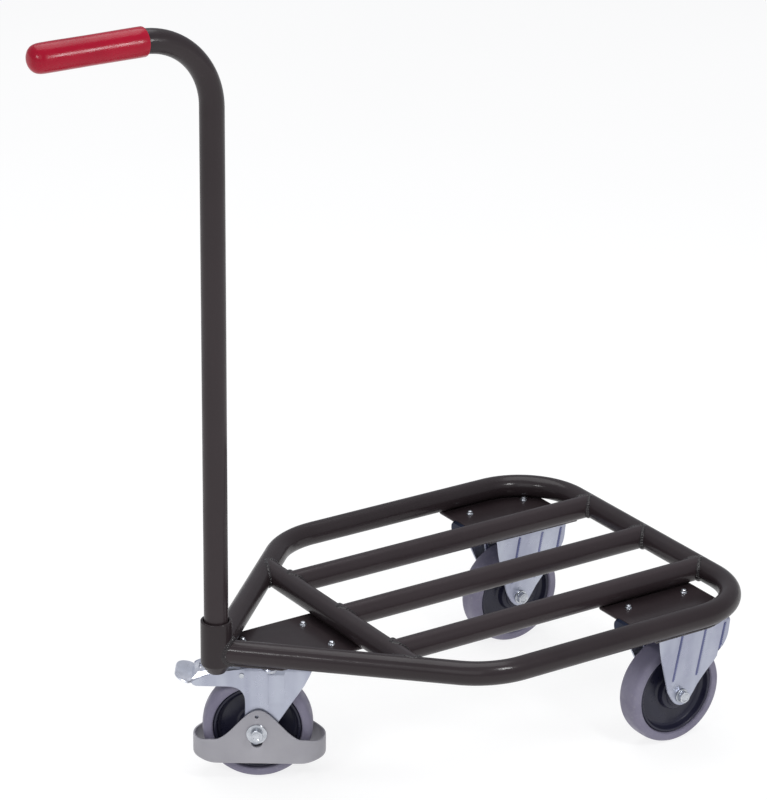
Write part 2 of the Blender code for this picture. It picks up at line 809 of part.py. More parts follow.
def guard_outline(inset):
    """Plan of the guard, with extra points where its upper edge is curved."""
    x0 = GUARD_MIDDLE_X - GUARD_HALF_LENGTH + inset
    x1 = GUARD_MIDDLE_X + GUARD_HALF_LENGTH - inset
    y1 = GUARD_OUTER_HALF - inset
    corner = GUARD_CORNER_R - inset
    straight = GUARD_HALF_LENGTH - GUARD_CORNER_R
    along = [straight * (k / 7 - 1) for k in range(1, 14)]
    near = [(GUARD_MIDDLE_X + x, -y1) for x in along]
    far = [(GUARD_MIDDLE_X - x, y1) for x in along]
    return (
        near
        + arc(x1 - corner, corner - y1, corner, -90, 0, 5)
        + arc(x1 - corner, y1 - corner, corner, 0, 90, 5)
        + far
        + arc(x0 + corner, y1 - corner, corner, 90, 180, 5)
        + arc(x0 + corner, corner - y1, corner, 180, 270, 5)
    )


def make_guard(finish, turning):
    """Plastic skirt that keeps feet away from the wheel, bolted on by the axle."""
    soft = 0.0007
    sections = []
    for (ox, oy), (ix, iy) in zip(guard_outline(0.0), guard_outline(GUARD_WALL)):
        top = guard_top(ox)
        low = GUARD_LOW + GUARD_END_RISE * guard_end(ox)
        rim_x, rim_y = ox + (ix - ox) * 0.3, oy + (iy - oy) * 0.3
        sections.append(
            [
                Vector((rim_x, rim_y, low)),
                Vector((ox, oy, low + soft)),
                Vector((ox, oy, top - soft)),
                Vector((rim_x, rim_y, top)),
                Vector((ix, iy, top)),
                Vector((ix, iy, low)),
            ]
        )
    guard = add_object("front_wheel_guard", loft(sections, loop=True), finish, turning)
    # The slot lets the guard be set higher or lower on the axle bolt.
    bm = prism([slot(0.0, 0.0, 0.0055, 0.0045, 5, along_x=False)], -0.05, 0.05)
    slot_cutter = helper("guard_slot", across(bm), turning, (TRAIL, 0.0, WHEEL_R - 0.0055))
    boolean(guard, slot_cutter, "DIFFERENCE")


def lever_path():
    """Middle of the brake lever's sheet, as (x, z, half width), from the pivot to the pedal."""
    inner = [
        (PIVOT_X + 0.0040, PIVOT_Z + 0.0032, LEVER_HALF),
        (PIVOT_X + 0.0300, PIVOT_Z + 0.0020, LEVER_HALF),
        (PIVOT_X + 0.0480, PIVOT_Z - 0.0020, LEVER_HALF),
        (PIVOT_X + 0.0525, PIVOT_Z - 0.0055, LEVER_HALF),
        (PIVOT_X + 0.0558, PIVOT_Z - 0.0095, LEVER_HALF),
        (PIVOT_X + 0.0565, PIVOT_Z - 0.0096, PEDAL_HALF - 0.0020),
    ]
    outer = []
    start_x = PIVOT_X + 0.0600
    for k in range(7):
        angle = math.radians(90 * k / 6)
        x = start_x + 0.0150 * math.sin(angle)
        half = PEDAL_HALF - 0.0150 + 0.0150 * math.cos(angle)
        z = PIVOT_Z - 0.0092 + (x - start_x) * 0.27
        outer.append((x, z, half))
    return inner + outer


def make_brake(finishes, turning):
    """Foot lever with its eye, pivot pin, shoe and leaf spring."""
    pivot = empty("brake_pivot", (PIVOT_X, 0.0, PIVOT_Z), turning)
    sections = []
    path = lever_path()
    for index, (x, z, half) in enumerate(path):
        before = path[max(index - 1, 0)]
        after = path[min(index + 1, len(path) - 1)]
        along = Vector((after[0] - before[0], 0.0, after[1] - before[1])).normalized()
        up = Vector((-along.z, 0.0, along.x)) * (LEVER_T / 2)
        middle = Vector((x - PIVOT_X, 0.0, z - PIVOT_Z))
        side = Vector((0.0, half, 0.0))
        corners = [middle - side - up, middle + side - up, middle + side + up, middle - side + up]
        sections.append(corners)
    lever = add_object("brake_lever", loft(sections), finishes["zinc"], pivot)
    bm = across(solid_turned([(EYE_R, -LEVER_HALF + 0.001), (EYE_R, LEVER_HALF - 0.001)], 20))
    boolean(lever, helper("brake_eye_shape", bm, pivot), "UNION")
    hole = bore_along_y("brake_eye_hole", PIVOT_R + GAP, 0.0, 0.0, 0.06, pivot, 12)
    boolean(lever, hole, "DIFFERENCE")
    bm = prism([slot(0.0475, 0.0, 0.0016, 0.0060, 3, along_x=False)], -0.02, 0.02)
    boolean(lever, helper("brake_lever_slot", bm, pivot), "DIFFERENCE")

    head = PIVOT_R + 0.0015
    outside = FRONT_CHEEK_Y + GAP
    pin = [
        (PIVOT_R, -outside - 0.0010),
        (PIVOT_R, outside),
        (head, outside),
        (head, outside + 0.0007),
        (PIVOT_R, outside + 0.0014),
    ]
    add_object("brake_pivot_pin", across(solid_turned(pin, 12)), finishes["steel"], pivot)

    # The shoe hangs under the lever and meets the tread when the pedal goes down.
    shoe = [
        (0.0110, 0.0013),
        (0.0220, 0.0008),
        (0.0220, -0.0160),
        (0.0165, -0.0138),
        (0.0110, -0.0118),
    ]
    bm = across(prism([shoe], -0.0120, 0.0120))
    add_object("brake_shoe", bm, finishes["shoe"], pivot)

    # A flat spring under the crown bears on the eye and holds the lever where it is set.
    spring = [
        (-0.0350, 0.0075),
        (-0.0110, 0.0075),
        (0.0060, 0.0082),
        (0.0060, 0.0072),
        (-0.0110, 0.0065),
        (-0.0350, 0.0065),
    ]
    bm = across(prism([spring], -0.0080, 0.0080))
    add_object("brake_leaf_spring", bm, finishes["steel"], pivot)


def make_swivel_castor(finishes, root):
    """The front castor, drawn with its wheel trailing along its own +X."""
    base = empty("front_castor_base", (FRONT_CASTOR_X, 0.0, 0.0), root)
    turning = empty("front_castor_swivel", (0.0, 0.0, 0.0), base, SWIVEL_ANGLE)
    wheel_base = empty("front_wheel_base", (TRAIL, 0.0, 0.0), turning)
    make_swivel_head(finishes, base, turning)
    make_swivel_fork(finishes["zinc"], turning)
    make_guard(finishes["guard"], turning)
    make_brake(finishes, turning)
    hub = make_wheel("front_castor", finishes, wheel_base)
    make_axle("front_castor", FRONT_CHEEK_Y, GUARD_OUTER_HALF, 1, finishes, hub)
    make_plate_bolts("front_castor", finishes["steel"], base)


def main():
    clear_scene()
    finishes = {
        "frame": material("dark_grey_powder_coat", (0.058, 0.050, 0.054), 0.42, 0.0),
        "grip": material("red_grip", (0.34, 0.012, 0.030), 0.32, 0.0),
        "zinc": material("zinc_plated_sheet", (0.52, 0.53, 0.58), 0.34, 0.9),
        "steel": material("bright_steel", (0.62, 0.63, 0.66), 0.25, 1.0),
        "rim": material("dark_wheel_plastic", (0.026, 0.027, 0.040), 0.45, 0.0),
        "tyre": material("grey_tyre", (0.175, 0.165, 0.215), 0.62, 0.0),
        "guard": material("grey_guard_plastic", (0.30, 0.295, 0.325), 0.45, 0.0),
        "shoe": material("black_brake_shoe", (0.03, 0.03, 0.03), 0.70, 0.0),
    }
    middle_x = (REAR_X + TUBE_R * math.cos(math.pi / TUBE_SIDES) + GRIP_OUTER_X) / 2
    root = empty("cart", (-middle_x, 0.0, 0.0))
    make_loop(finishes["frame"], root)
    make_cross_tube(finishes["frame"], root)
    make_deck_tubes(finishes["frame"], root)
    make_socket(finishes["frame"], root)
    make_front_plate(finishes["frame"], root)
    make_rear_plate("rear_right_plate", -1, finishes["frame"], root)
    make_rear_plate("rear_left_plate", 1, finishes["frame"], root)
    make_handle(finishes["frame"], finishes["grip"], root)
    make_swivel_castor(finishes, root)
    make_fixed_castor("rear_right_castor", -REAR_CASTOR_Y, finishes, root)
    make_fixed_castor("rear_left_castor", REAR_CASTOR_Y, finishes, root)


main()
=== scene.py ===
"""Looks of a small platform cart: smooth tubes with weld beads, pressed castors and finished materials.

Everything is in metres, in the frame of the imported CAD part.  The cart's own drawings use the
axis of the handle's post, the swivel axis or a wheel's axle as their origin, and a matrix puts
them in place.
"""

import json
import math

import bmesh
import bpy
from mathutils import Matrix, Vector, noise
from mathutils.geometry import delaunay_2d_cdt


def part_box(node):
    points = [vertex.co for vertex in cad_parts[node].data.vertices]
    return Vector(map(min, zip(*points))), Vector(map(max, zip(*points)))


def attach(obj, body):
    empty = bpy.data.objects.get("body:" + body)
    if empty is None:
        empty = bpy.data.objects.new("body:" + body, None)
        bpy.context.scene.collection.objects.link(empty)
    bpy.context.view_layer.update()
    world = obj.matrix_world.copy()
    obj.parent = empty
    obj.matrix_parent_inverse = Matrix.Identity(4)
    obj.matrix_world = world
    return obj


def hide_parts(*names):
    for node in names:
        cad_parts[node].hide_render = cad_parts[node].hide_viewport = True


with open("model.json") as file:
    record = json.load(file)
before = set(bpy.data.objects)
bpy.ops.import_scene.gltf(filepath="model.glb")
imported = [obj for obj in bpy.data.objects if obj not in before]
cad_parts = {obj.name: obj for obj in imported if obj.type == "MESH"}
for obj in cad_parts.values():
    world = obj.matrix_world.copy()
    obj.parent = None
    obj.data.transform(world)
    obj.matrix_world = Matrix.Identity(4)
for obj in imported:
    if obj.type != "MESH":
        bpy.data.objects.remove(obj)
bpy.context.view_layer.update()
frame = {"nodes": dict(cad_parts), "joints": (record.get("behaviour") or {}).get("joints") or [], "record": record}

# Round tube of the deck and the handle.
TUBE_R = 0.0135
TUBE_WALL = 0.002
TUBE_Z = 0.176
TUBE_SIDES = 56
BEND_STEPS = 24
SIDE_BEND_R = 0.080
FRONT_BEND_R = 0.095
HANDLE_BEND_R = 0.082
HANDLE_FLATTENING = 0.05

# Deck outline, from the axis of the post.
CORNER_X = 0.2225
SIDE_Y = 0.216
REAR_X = 0.592
CROSS_X = 0.160
DECK_TUBE_Y = 0.108

# Socket.
SOCKET_R = 0.0175
SOCKET_BORE_R = 0.0143
SOCKET_TOP = 0.2135
SOCKET_FLOOR = 0.165
SOCKET_CONE_TOP = 0.1615
SOCKET_FOOT_R = 0.0098
SOCKET_FOOT_Z = 0.150

# Welds round the tubes' ends.
WELD_WIDTH = 0.0034
WELD_HEIGHT = 0.0009
WELD_RIPPLES = 34

# Plates under the tubes.
GAP = 0.0003
PLATE_T = 0.004
PLATE_TOP = TUBE_Z - TUBE_R - GAP
PLATE_LOW = PLATE_TOP - PLATE_T
FRONT_PLATE_Y = 0.052
FRONT_PLATE_BACK = 0.168
REAR_PLATE_FRONT = 0.4465
REAR_PLATE_BACK = 0.574
REAR_PLATE_IN = 0.1098
REAR_PLATE_OUT = 0.2165
TAB_FRONT = 0.4420
TAB_IN = 0.143
TAB_OUT = 0.186
TAB_DROP = 0.011
TAB_T = 0.0065

# Handle and grip.
GRIP_AXIS_Z = 0.884
GRIP_INNER_X = -0.080
GRIP_OUTER_X = -0.213
GRIP_R = 0.016
GRIP_END_WALL = 0.006

# Castors.
WHEEL_HALF = 0.016
RIM_R = 0.0500
HUB_R = 0.0155
HUB_HALF = 0.0195
BEARING_R = 0.011
TOP_PLATE_LENGTH = 0.105
TOP_PLATE_WIDTH = 0.085
TOP_PLATE_T = 0.003
TOP_PLATE_HIGH = PLATE_LOW - GAP
TOP_PLATE_LOW = TOP_PLATE_HIGH - TOP_PLATE_T
BOLT_X = 0.040
BOLT_Y = 0.030
BOLT_R = 0.004
BOLT_HOLE_R = 0.0045
THREAD_PITCH = 0.00125
THREAD_DEPTH = 0.0004
HEX_HALF = 0.0065
HEX_HEIGHT = 0.0055
SHEET_T = 0.0025
REAR_CHEEK_Y = 0.024
REAR_GROOVES = (-0.0145, 0.0190, 0.0465)
GROOVE_DEPTH = 0.0021
FRONT_PRESS = (0.0015, 0.0200)
FRONT_CHEEK_Y = 0.026
CROWN_TOP = 0.1437
CROWN_BEND_R = 0.0055
RACE_R = 0.033
RACE_SPLIT_Z = 0.1493
KINGPIN_R = 0.006

# Brake, from its pivot.
EYE_R = 0.0058
PIN_R = 0.003
LEVER_T = 0.0025
LEVER_HALF = 0.019
PEDAL_HALF = 0.026

# Foot guard.
GUARD_OUTER_HALF = 0.030
GUARD_WALL = 0.0028
GUARD_MIDDLE_X = 0.0312
GUARD_HALF_LENGTH = 0.0752
GUARD_CORNER_R = 0.0296
GUARD_LOW = 0.025
GUARD_RIM = 0.0545
GUARD_CREST = 0.0915
GUARD_END_DROP = 0.0045
GUARD_END_RISE = 0.002

WHEEL_STEPS = 120
UP = Vector((0.0, 0.0, 1.0))

slots = {part["node"]: part["material_slot"] for part in frame["record"]["subparts"]}
bodies = {}
for body_name, members in frame["record"]["behaviour"]["bodies"].items():
    for member in members:
        bodies[member] = body_name
joints = {joint["name"]: joint for joint in frame["joints"]}

# Where the drawings go: the post's axis, the swivelling castor, and the two rear castors.
socket_low, socket_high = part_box("handle_socket")
cart_place = Matrix.Translation(((socket_low.x + socket_high.x) / 2, 0.0, 0.0))
swivel_axis = Vector(joints["front_swivel"]["pos_m"])
front_axle = Vector(joints["front_wheel_spin"]["pos_m"])
front_line = Vector(joints["front_wheel_spin"]["axis"])
brake_pivot = Vector(joints["brake_pedal"]["pos_m"])
WHEEL_R = front_axle.z
front_turn = Matrix.Rotation(math.atan2(-front_line.x, front_line.y), 4, "Z")
swivel_place = Matrix.Translation((swivel_axis.x, 0.0, 0.0)) @ front_turn
TRAIL = (front_axle.xy - swivel_axis.xy).length
PIVOT_X = (brake_pivot.xy - swivel_axis.xy).length
PIVOT_Z = brake_pivot.z


# ------------------------------------------------------------------ materials


class Look:
    """A material built round one Principled shader, with helpers for its node patterns."""

    def __init__(self, name, roughness, metallic=0.0, specular=0.5):
        self.material = bpy.data.materials.new(name)
        self.material.use_nodes = True
        self.tree = self.material.node_tree
        self.shader = self.tree.nodes["Principled BSDF"]
        self.shader.inputs["Metallic"].default_value = metallic
        self.shader.inputs["Roughness"].default_value = roughness
        self.shader.inputs["Specular IOR Level"].default_value = specular
        self.coordinates = self.tree.nodes.new("ShaderNodeTexCoord").outputs["Object"]

    def node(self, kind, **values):
        made = self.tree.nodes.new(kind)
        for key, value in values.items():
            made.inputs[key].default_value = value
        return made

    def join(self, source, target):
        self.tree.links.new(source, target)

    def pattern(self, scale, detail=3.0, stretch=(1.0, 1.0, 1.0), distortion=0.0):
        """Noise from 0 to 1, with its scale in features per metre."""
        mapping = self.node("ShaderNodeMapping", Scale=stretch)
        made = self.node("ShaderNodeTexNoise", Scale=scale, Detail=detail, Distortion=distortion)
        self.join(self.coordinates, mapping.inputs["Vector"])
        self.join(mapping.outputs["Vector"], made.inputs["Vector"])
        return made.outputs["Fac"]

    def cells(self, scale):
        """Distance to the nearest of many scattered points, for moulded grain."""
        made = self.node("ShaderNodeTexVoronoi", Scale=scale)
        self.join(self.coordinates, made.inputs["Vector"])
        return made.outputs["Distance"]

    def edges(self):
        """How convex the surface is, which shows where coatings wear and where hollows take painted shade."""
        return self.tree.nodes.new("ShaderNodeNewGeometry").outputs["Pointiness"]

    def spread(self, value, low, high, to_low=0.0, to_high=1.0):
        made = self.tree.nodes.new("ShaderNodeMapRange")
        self.join(value, made.inputs["Value"])
        for key, number in zip(("From Min", "From Max", "To Min", "To Max"), (low, high, to_low, to_high)):
            made.inputs[key].default_value = number
        return made.outputs["Result"]

    def blend(self, share, first, second):
        """A colour between two others, either of which may come from another pattern."""
        made = self.tree.nodes.new("ShaderNodeMix")
        made.data_type = "RGBA"
        self.join(share, made.inputs["Factor"])
        for key, colour in ((6, first), (7, second)):
            if isinstance(colour, tuple):
                made.inputs[key].default_value = (*colour, 1.0)
            else:
                self.join(colour, made.inputs[key])
        return made.outputs[2]

    def colour(self, source):
        self.join(source, self.shader.inputs["Base Color"])

    def rough(self, source, smooth, dull, low=0.35, high=0.65):
        self.join(self.spread(source, low, high, smooth, dull), self.shader.inputs["Roughness"])

    def relief(self, source, strength, distance, below=None):
        made = self.node("ShaderNodeBump", Strength=strength, Distance=distance)
        self.join(source, made.inputs["Height"])
        if below is not None:
            self.join(below, made.inputs["Normal"])
        self.join(made.outputs["Normal"], self.shader.inputs["Normal"])
        return made.outputs["Normal"]


def powder_coat(name, dark, light, smooth, dull, peel):
    """Semi-gloss powder coat with orange peel, cloudy tone and paler, thinner edges."""
    look = Look(name, dull, specular=0.12)
    tone = look.blend(look.spread(look.pattern(7.0, 4.0), 0.35, 0.65), dark, light)
    pale = tuple(min(1.0, 1.7 * c) for c in light)
    worn = look.spread(look.edges(), 0.53, 0.60, 0.0, 0.55)
    tone = look.blend(worn, tone, pale)
    dust = look.spread(look.pattern(160.0, 5.0), 0.60, 0.78, 0.0, 0.22)
    look.colour(look.blend(dust, tone, pale))
    look.rough(look.pattern(30.0, 3.0), smooth, dull)
    look.shader.inputs["Coat Weight"].default_value = 0.36
    look.join(look.spread(look.pattern(45.0, 2.0), 0.3, 0.7, 0.12, 0.20), look.shader.inputs["Coat Roughness"])
    wide = look.relief(look.pattern(420.0, 2.0), peel, 0.0006)
    peeled = look.relief(look.pattern(1500.0, 2.0), peel * 0.5, 0.0002, wide)
    look.join(peeled, look.shader.inputs["Coat Normal"])
    return look.material


def zinc_plate(name, dark, light):
    """Bluish zinc on pressed sheet: upright rolling streaks, tinted patches and scratches."""
    look = Look(name, 0.36, metallic=0.85, specular=0.5)
    streaks = look.pattern(34.0, 2.0, stretch=(1.0, 1.0, 0.06))
    tone = look.blend(look.spread(streaks, 0.36, 0.64), dark, light)
    patch = look.spread(look.pattern(34.0, 2.0, distortion=1.5), 0.55, 0.75, 0.0, 0.35)
    look.colour(look.blend(patch, tone, tuple(0.9 * c for c in light)))
    look.rough(look.pattern(90.0, 4.0), 0.26, 0.42)
    scratches = look.pattern(700.0, 3.0, stretch=(1.0, 1.0, 0.06))
    wide = look.relief(scratches, 0.08, 0.0001)
    look.relief(look.pattern(60.0, 2.0), 0.08, 0.0008, wide)
    return look.material


def bright_steel():
    """Bright plated steel of bolts, nuts and bearings, with painted shade darkening its hollows."""
    look = Look("bright_steel", 0.24, metallic=0.85)
    tone = look.blend(
        look.spread(look.pattern(120.0, 3.0), 0.35, 0.65), (0.40, 0.42, 0.46), (0.58, 0.60, 0.64)
    )
    # Painted shade: hollows such as thread roots and inner corners are darkened towards dark grey.
    dark = look.spread(look.edges(), 0.40, 0.47, 0.55, 0.0)
    look.colour(look.blend(dark, tone, (0.20, 0.20, 0.22)))
    look.rough(look.pattern(260.0, 3.0), 0.14, 0.34)
    look.relief(look.pattern(1800.0, 2.0), 0.08, 0.0001)
    return look.material


def moulded(name, dark, light, smooth, dull, grain, specular=0.45):
    """Moulded plastic or rubber: fine grain, cloudy tone and convex edges made paler."""
    look = Look(name, dull, specular=specular)
    tone = look.blend(look.spread(look.pattern(18.0, 4.0), 0.35, 0.65), dark, light)
    pale = tuple(min(1.0, 1.35 * c) for c in light)
    # Convex edges are made paler.
    paler_edges = look.spread(look.edges(), 0.52, 0.60, 0.0, 0.5)
    look.colour(look.blend(paler_edges, tone, pale))
    look.rough(look.pattern(70.0, 3.0), smooth, dull)
    wide = look.relief(look.cells(1400.0), grain, 0.0002)
    look.relief(look.pattern(90.0, 2.0), grain * 0.6, 0.0006, wide)
    return look.material


def tyre_rubber():
    """Grey tyre: satin rubber, duller in patches, and a little dusty."""
    look = Look("grey_tyre", 0.6, specular=0.4)
    tone = look.blend(
        look.spread(look.pattern(22.0, 4.0), 0.35, 0.65), (0.158, 0.146, 0.208), (0.196, 0.184, 0.250)
    )
    dust = look.spread(look.pattern(240.0, 5.0), 0.55, 0.75, 0.0, 0.35)
    look.colour(look.blend(dust, tone, (0.28, 0.27, 0.30)))
    look.rough(look.pattern(80.0, 4.0), 0.42, 0.70)
    wide = look.relief(look.pattern(900.0, 3.0), 0.16, 0.0002)
    look.relief(look.pattern(120.0, 3.0), 0.10, 0.0006, wide)
    return look.material


looks = {
    "frame_coat": powder_coat("powder_coat", (0.0172, 0.0118, 0.0134), (0.0218, 0.0155, 0.0174), 0.42, 0.56, 0.08),
    "grip": moulded("red_grip", (0.27, 0.0025, 0.017), (0.33, 0.004, 0.022), 0.18, 0.28, 0.04, 0.22),
    "zinc": zinc_plate("zinc_plate", (0.345, 0.36, 0.45), (0.475, 0.50, 0.58)),
    "steel": bright_steel(),
    "rim": moulded("dark_rim", (0.011, 0.011, 0.025), (0.018, 0.018, 0.036), 0.26, 0.40, 0.08, 0.36),
    "tyre": tyre_rubber(),
    "guard": moulded("grey_guard", (0.285, 0.279, 0.305), (0.330, 0.323, 0.350), 0.40, 0.56, 0.16),
    "shoe": moulded("black_shoe", (0.012, 0.012, 0.013), (0.020, 0.020, 0.021), 0.55, 0.80, 0.25),
}
weld_look = powder_coat("coated_weld", (0.016, 0.0135, 0.0145), (0.024, 0.020, 0.022), 0.20, 0.32, 0.05)
# A much lighter copy of the zinc: painted light for the brake pedal, which catches the lamps.
painted_light_zinc = zinc_plate("painted_light_zinc", (0.62, 0.65, 0.74), (0.78, 0.80, 0.88))
# A dark blue copy of the zinc: painted shade for the bottoms of the pressed grooves.
painted_groove_shade_zinc = zinc_plate("painted_groove_shade_zinc", (0.10, 0.11, 0.22), (0.18, 0.19, 0.32))
# A near-black blue copy of the zinc: painted shade for the lips that sit under the rear plates.
painted_shade_zinc = zinc_plate("painted_shade_zinc", (0.008, 0.012, 0.028), (0.014, 0.022, 0.055))


# --------------------------------------------------------------- mesh helpers


def add_piece(name, bm, slot, body, place=Matrix.Identity(4), look=None, sharp=38):
    """Turns a bmesh into a piece that rides on a body and takes its finish from a slot."""
    bmesh.ops.transform(bm, matrix=place, verts=bm.verts)
    bmesh.ops.remove_doubles(bm, verts=bm.verts, dist=1e-6)
    bmesh.ops.recalc_face_normals(bm, faces=bm.faces)
    mesh = bpy.data.meshes.new(name)
    bm.to_mesh(mesh)
    bm.free()
    mesh.shade_smooth()
    mesh.set_sharp_from_angle(angle=math.radians(sharp))
    mesh.materials.append(look or looks[slot])
    piece = bpy.data.objects.new(name, mesh)
    bpy.context.scene.collection.objects.link(piece)
    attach(piece, body)
    return piece


def fine(node, bm, place=Matrix.Identity(4), sharp=38):
    """Puts a detailed piece in the place of a CAD node, on the same body."""
    piece = add_piece(f"fine_{node}", bm, slots[node], bodies[node], place, sharp=sharp)
    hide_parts(node)
    return piece


def keep(node, bevel=0.0003):
    """Shows a CAD node with its finished material and softened edges."""
    piece = frame["nodes"][node]
    piece.data.materials.clear()
    piece.data.materials.append(looks[slots[node]])
    weld = piece.modifiers.new("weld", "WELD")
    weld.merge_threshold = 1e-6
    soft = piece.modifiers.new("soft_edges", "BEVEL")
    soft.width = bevel
    soft.segments = 2
    soft.limit_method = "ANGLE"
    soft.angle_limit = math.radians(40)
    soft.harden_normals = True


def cut(piece, cutters):
    """Takes shapes out of a piece for good."""
    made = []
    for number, bm in enumerate(cutters):
        bmesh.ops.recalc_face_normals(bm, faces=bm.faces)
        mesh = bpy.data.meshes.new("cutter")
        bm.to_mesh(mesh)
        bm.free()
        cutter = bpy.data.objects.new(f"cutter_{number}", mesh)
        bpy.context.scene.collection.objects.link(cutter)
        modifier = piece.modifiers.new("cut", "BOOLEAN")
        modifier.operation = "DIFFERENCE"
        modifier.solver = "EXACT"
        modifier.object = cutter
        made.append(cutter)
    graph = bpy.context.evaluated_depsgraph_get()
    mesh = bpy.data.meshes.new_from_object(piece.evaluated_get(graph))
    piece.modifiers.clear()
    piece.data = mesh
    for cutter in made:
        bpy.data.objects.remove(cutter)
    mesh.shade_smooth()
    mesh.set_sharp_from_angle(angle=math.radians(38))


def loft(rings, loop=False):
    """Joins rings with the same number of points into one closed skin."""
    bm = bmesh.new()
    made = [[bm.verts.new(point) for point in ring] for ring in rings]
    pairs = list(zip(made, made[1:]))
    if loop:
        pairs.append((made[-1], made[0]))
    for first, second in pairs:
        count = len(first)
        for k in range(count):
            after = (k + 1) % count
            bm.faces.new((first[k], first[after], second[after], second[k]))
    if not loop:
        bm.faces.new(made[0][::-1])
        bm.faces.new(made[-1])
    return bm


def across(bm):
    """Lays a piece that was made along Z down along Y."""
    bmesh.ops.transform(bm, matrix=Matrix.Rotation(math.radians(90), 4, "X"), verts=bm.verts)
    return bm


def joined(*parts):
    """One bmesh that holds several closed skins."""
    whole = bmesh.new()
    for part in parts:
        bmesh.ops.recalc_face_normals(part, faces=part.faces)
        mesh = bpy.data.meshes.new("part")
        part.to_mesh(mesh)
        part.free()
        whole.from_mesh(mesh)
        bpy.data.meshes.remove(mesh)
    return whole


def soften(points, radius, steps=4, closed=True):
    """Rounds the corners of a flat outline."""
    made = []
    count = len(points)
    for k, point in enumerate(points):
        here = Vector(point)
        if not closed and k in (0, count - 1):
            made.append(here)
            continue
        back = Vector(points[k - 1]) - here
        ahead = Vector(points[(k + 1) % count]) - here
        reach = min(radius, back.length * 0.45, ahead.length * 0.45)
        start = here + back.normalized() * reach
        stop = here + ahead.normalized() * reach
        for n in range(steps + 1):
            t = n / steps
            made.append(start.lerp(here, t).lerp(here.lerp(stop, t), t))
    return [tuple(point) for point in made]


def flowing(points, steps):
    """A smooth curve through flat points that keeps both ends."""
    padded = [points[0]] + list(points) + [points[-1]]
    made = []
    for a, b, c, d in zip(padded, padded[1:], padded[2:], padded[3:]):
        a, b, c, d = Vector(a), Vector(b), Vector(c), Vector(d)
        for n in range(steps):
            t = n / steps
            curve = 2 * b + (c - a) * t + (2 * a - 5 * b + 4 * c - d) * t * t
            made.append((curve + (3 * b - a - 3 * c + d) * t**3) / 2)
    made.append(Vector(points[-1]))
    return [tuple(point) for point in made]


def arc(x, y, radius, start, stop, steps):
    """Points on an arc, with the angles in degrees."""
    angles = [math.radians(start + (stop - start) * k / steps) for k in range(steps + 1)]
    return [(x + radius * math.cos(a), y + radius * math.sin(a)) for a in angles]


def circle(x, y, radius, steps=24):
    return arc(x, y, radius, 0, 360 * (steps - 1) / steps, steps - 1)


def long_hole(x, y, radius, reach, steps=8):
    """A slot along the second direction, whose round ends have their centres reach away."""
    return arc(x, y + reach, radius, 0, 180, steps) + arc(x, y - reach, radius, 180, 360, steps)


def turned(profile, steps=48, soft=0.0, closed=True):
    """Turns a (radius, height) outline about Z.  An open one starts and ends on the axis."""
    outline = soften(profile, soft, closed=closed) if soft else profile
    if not closed:
        rings = []
        for radius, z in outline:
            rings.append([Vector((x, y, z)) for x, y in circle(0.0, 0.0, max(radius, 1e-5), steps)])
        return loft(rings)
    rings = []
    for k in range(steps):
        side = Vector((math.cos(math.tau * k / steps), math.sin(math.tau * k / steps), 0.0))
        rings.append([side * radius + UP * z for radius, z in outline])
    return loft(rings, loop=True)


def eased(share):
    """A smooth step from zero to one."""
    share = min(max(share, 0.0), 1.0)
    return share * share * (3 - 2 * share)


def inside(spot, loop):
    """Whether a flat point lies inside a loop."""
    u, v = spot
    odd = False
    for (a, b), (c, d) in zip(loop, loop[1:] + loop[:1]):
        if (b > v) != (d > v) and u < (c - a) * (v - b) / (d - b) + a:
            odd = not odd
    return odd


def sheet(loops, thickness, spacing, place, lines=()):
    """Sheet metal with softened edges.

    The loops are flat: the outline and then its holes.  The place function gives the point and
    the normal of the outer face at a flat point, so the sheet can be bent and pressed.  Lines
    are second coordinates that need a closer mesh on both sides.
    """
    flat = [Vector(point) for loop in loops for point in loop]
    edges = []
    for loop in loops:
        start = len(edges)
        edges += [(start + k, start + (k + 1) % len(loop)) for k in range(len(loop))]
    rim = list(flat)
    low = Vector(map(min, zip(*loops[0])))
    high = Vector(map(max, zip(*loops[0])))
    columns = [low.y + k * spacing for k in range(1, int((high.y - low.y) / spacing) + 1)]
    columns = [y for y in columns if all(abs(y - line) > 0.0042 for line in lines)]
    columns += [line + k * 0.0007 for line in lines for k in range(-5, 6)]
    for i in range(1, int((high.x - low.x) / spacing) + 1):
        for y in columns:
            spot = Vector((low.x + i * spacing, y))
            held = inside(spot, loops[0]) and not any(inside(spot, hole) for hole in loops[1:])
            if held and all((spot - point).length > spacing * 0.6 for point in rim):
                flat.append(spot)
    verts, _, faces, _, _, _ = delaunay_2d_cdt(flat, edges, [], 1, 1e-7)
    bm = bmesh.new()
    outer, inner = [], []
    for vert in verts:
        point, normal = place(vert.x, vert.y)
        outer.append(bm.verts.new(point))
        inner.append(bm.verts.new(point - normal * thickness))
    sides = set()
    for face in faces:
        middle = sum((verts[k] for k in face), Vector((0.0, 0.0))) / len(face)
        if not inside(middle, loops[0]) or any(inside(middle, hole) for hole in loops[1:]):
            continue
        bm.faces.new([outer[k] for k in face])
        bm.faces.new([inner[k] for k in reversed(face)])
        sides.update(zip(face, list(face[1:]) + [face[0]]))
    border = sorted((a, b) for a, b in sides if (b, a) not in sides)
    push = {}
    for a, b in border:
        along = (verts[b] - verts[a]).normalized()
        for k in (a, b):
            push[k] = push.get(k, Vector((0.0, 0.0))) + Vector((along.y, -along.x))
    middles = {}
    for k, away in push.items():
        spot = verts[k] + away.normalized() * (thickness * 0.3)
        point, normal = place(spot.x, spot.y)
        middles[k] = bm.verts.new(point - normal * (thickness / 2))
    for a, b in border:
        bm.faces.new((outer[b], outer[a], middles[a], middles[b]))
        bm.faces.new((middles[b], middles[a], inner[a], inner[b]))
    return bm


# ---------------------------------------------------------------- bent tubes


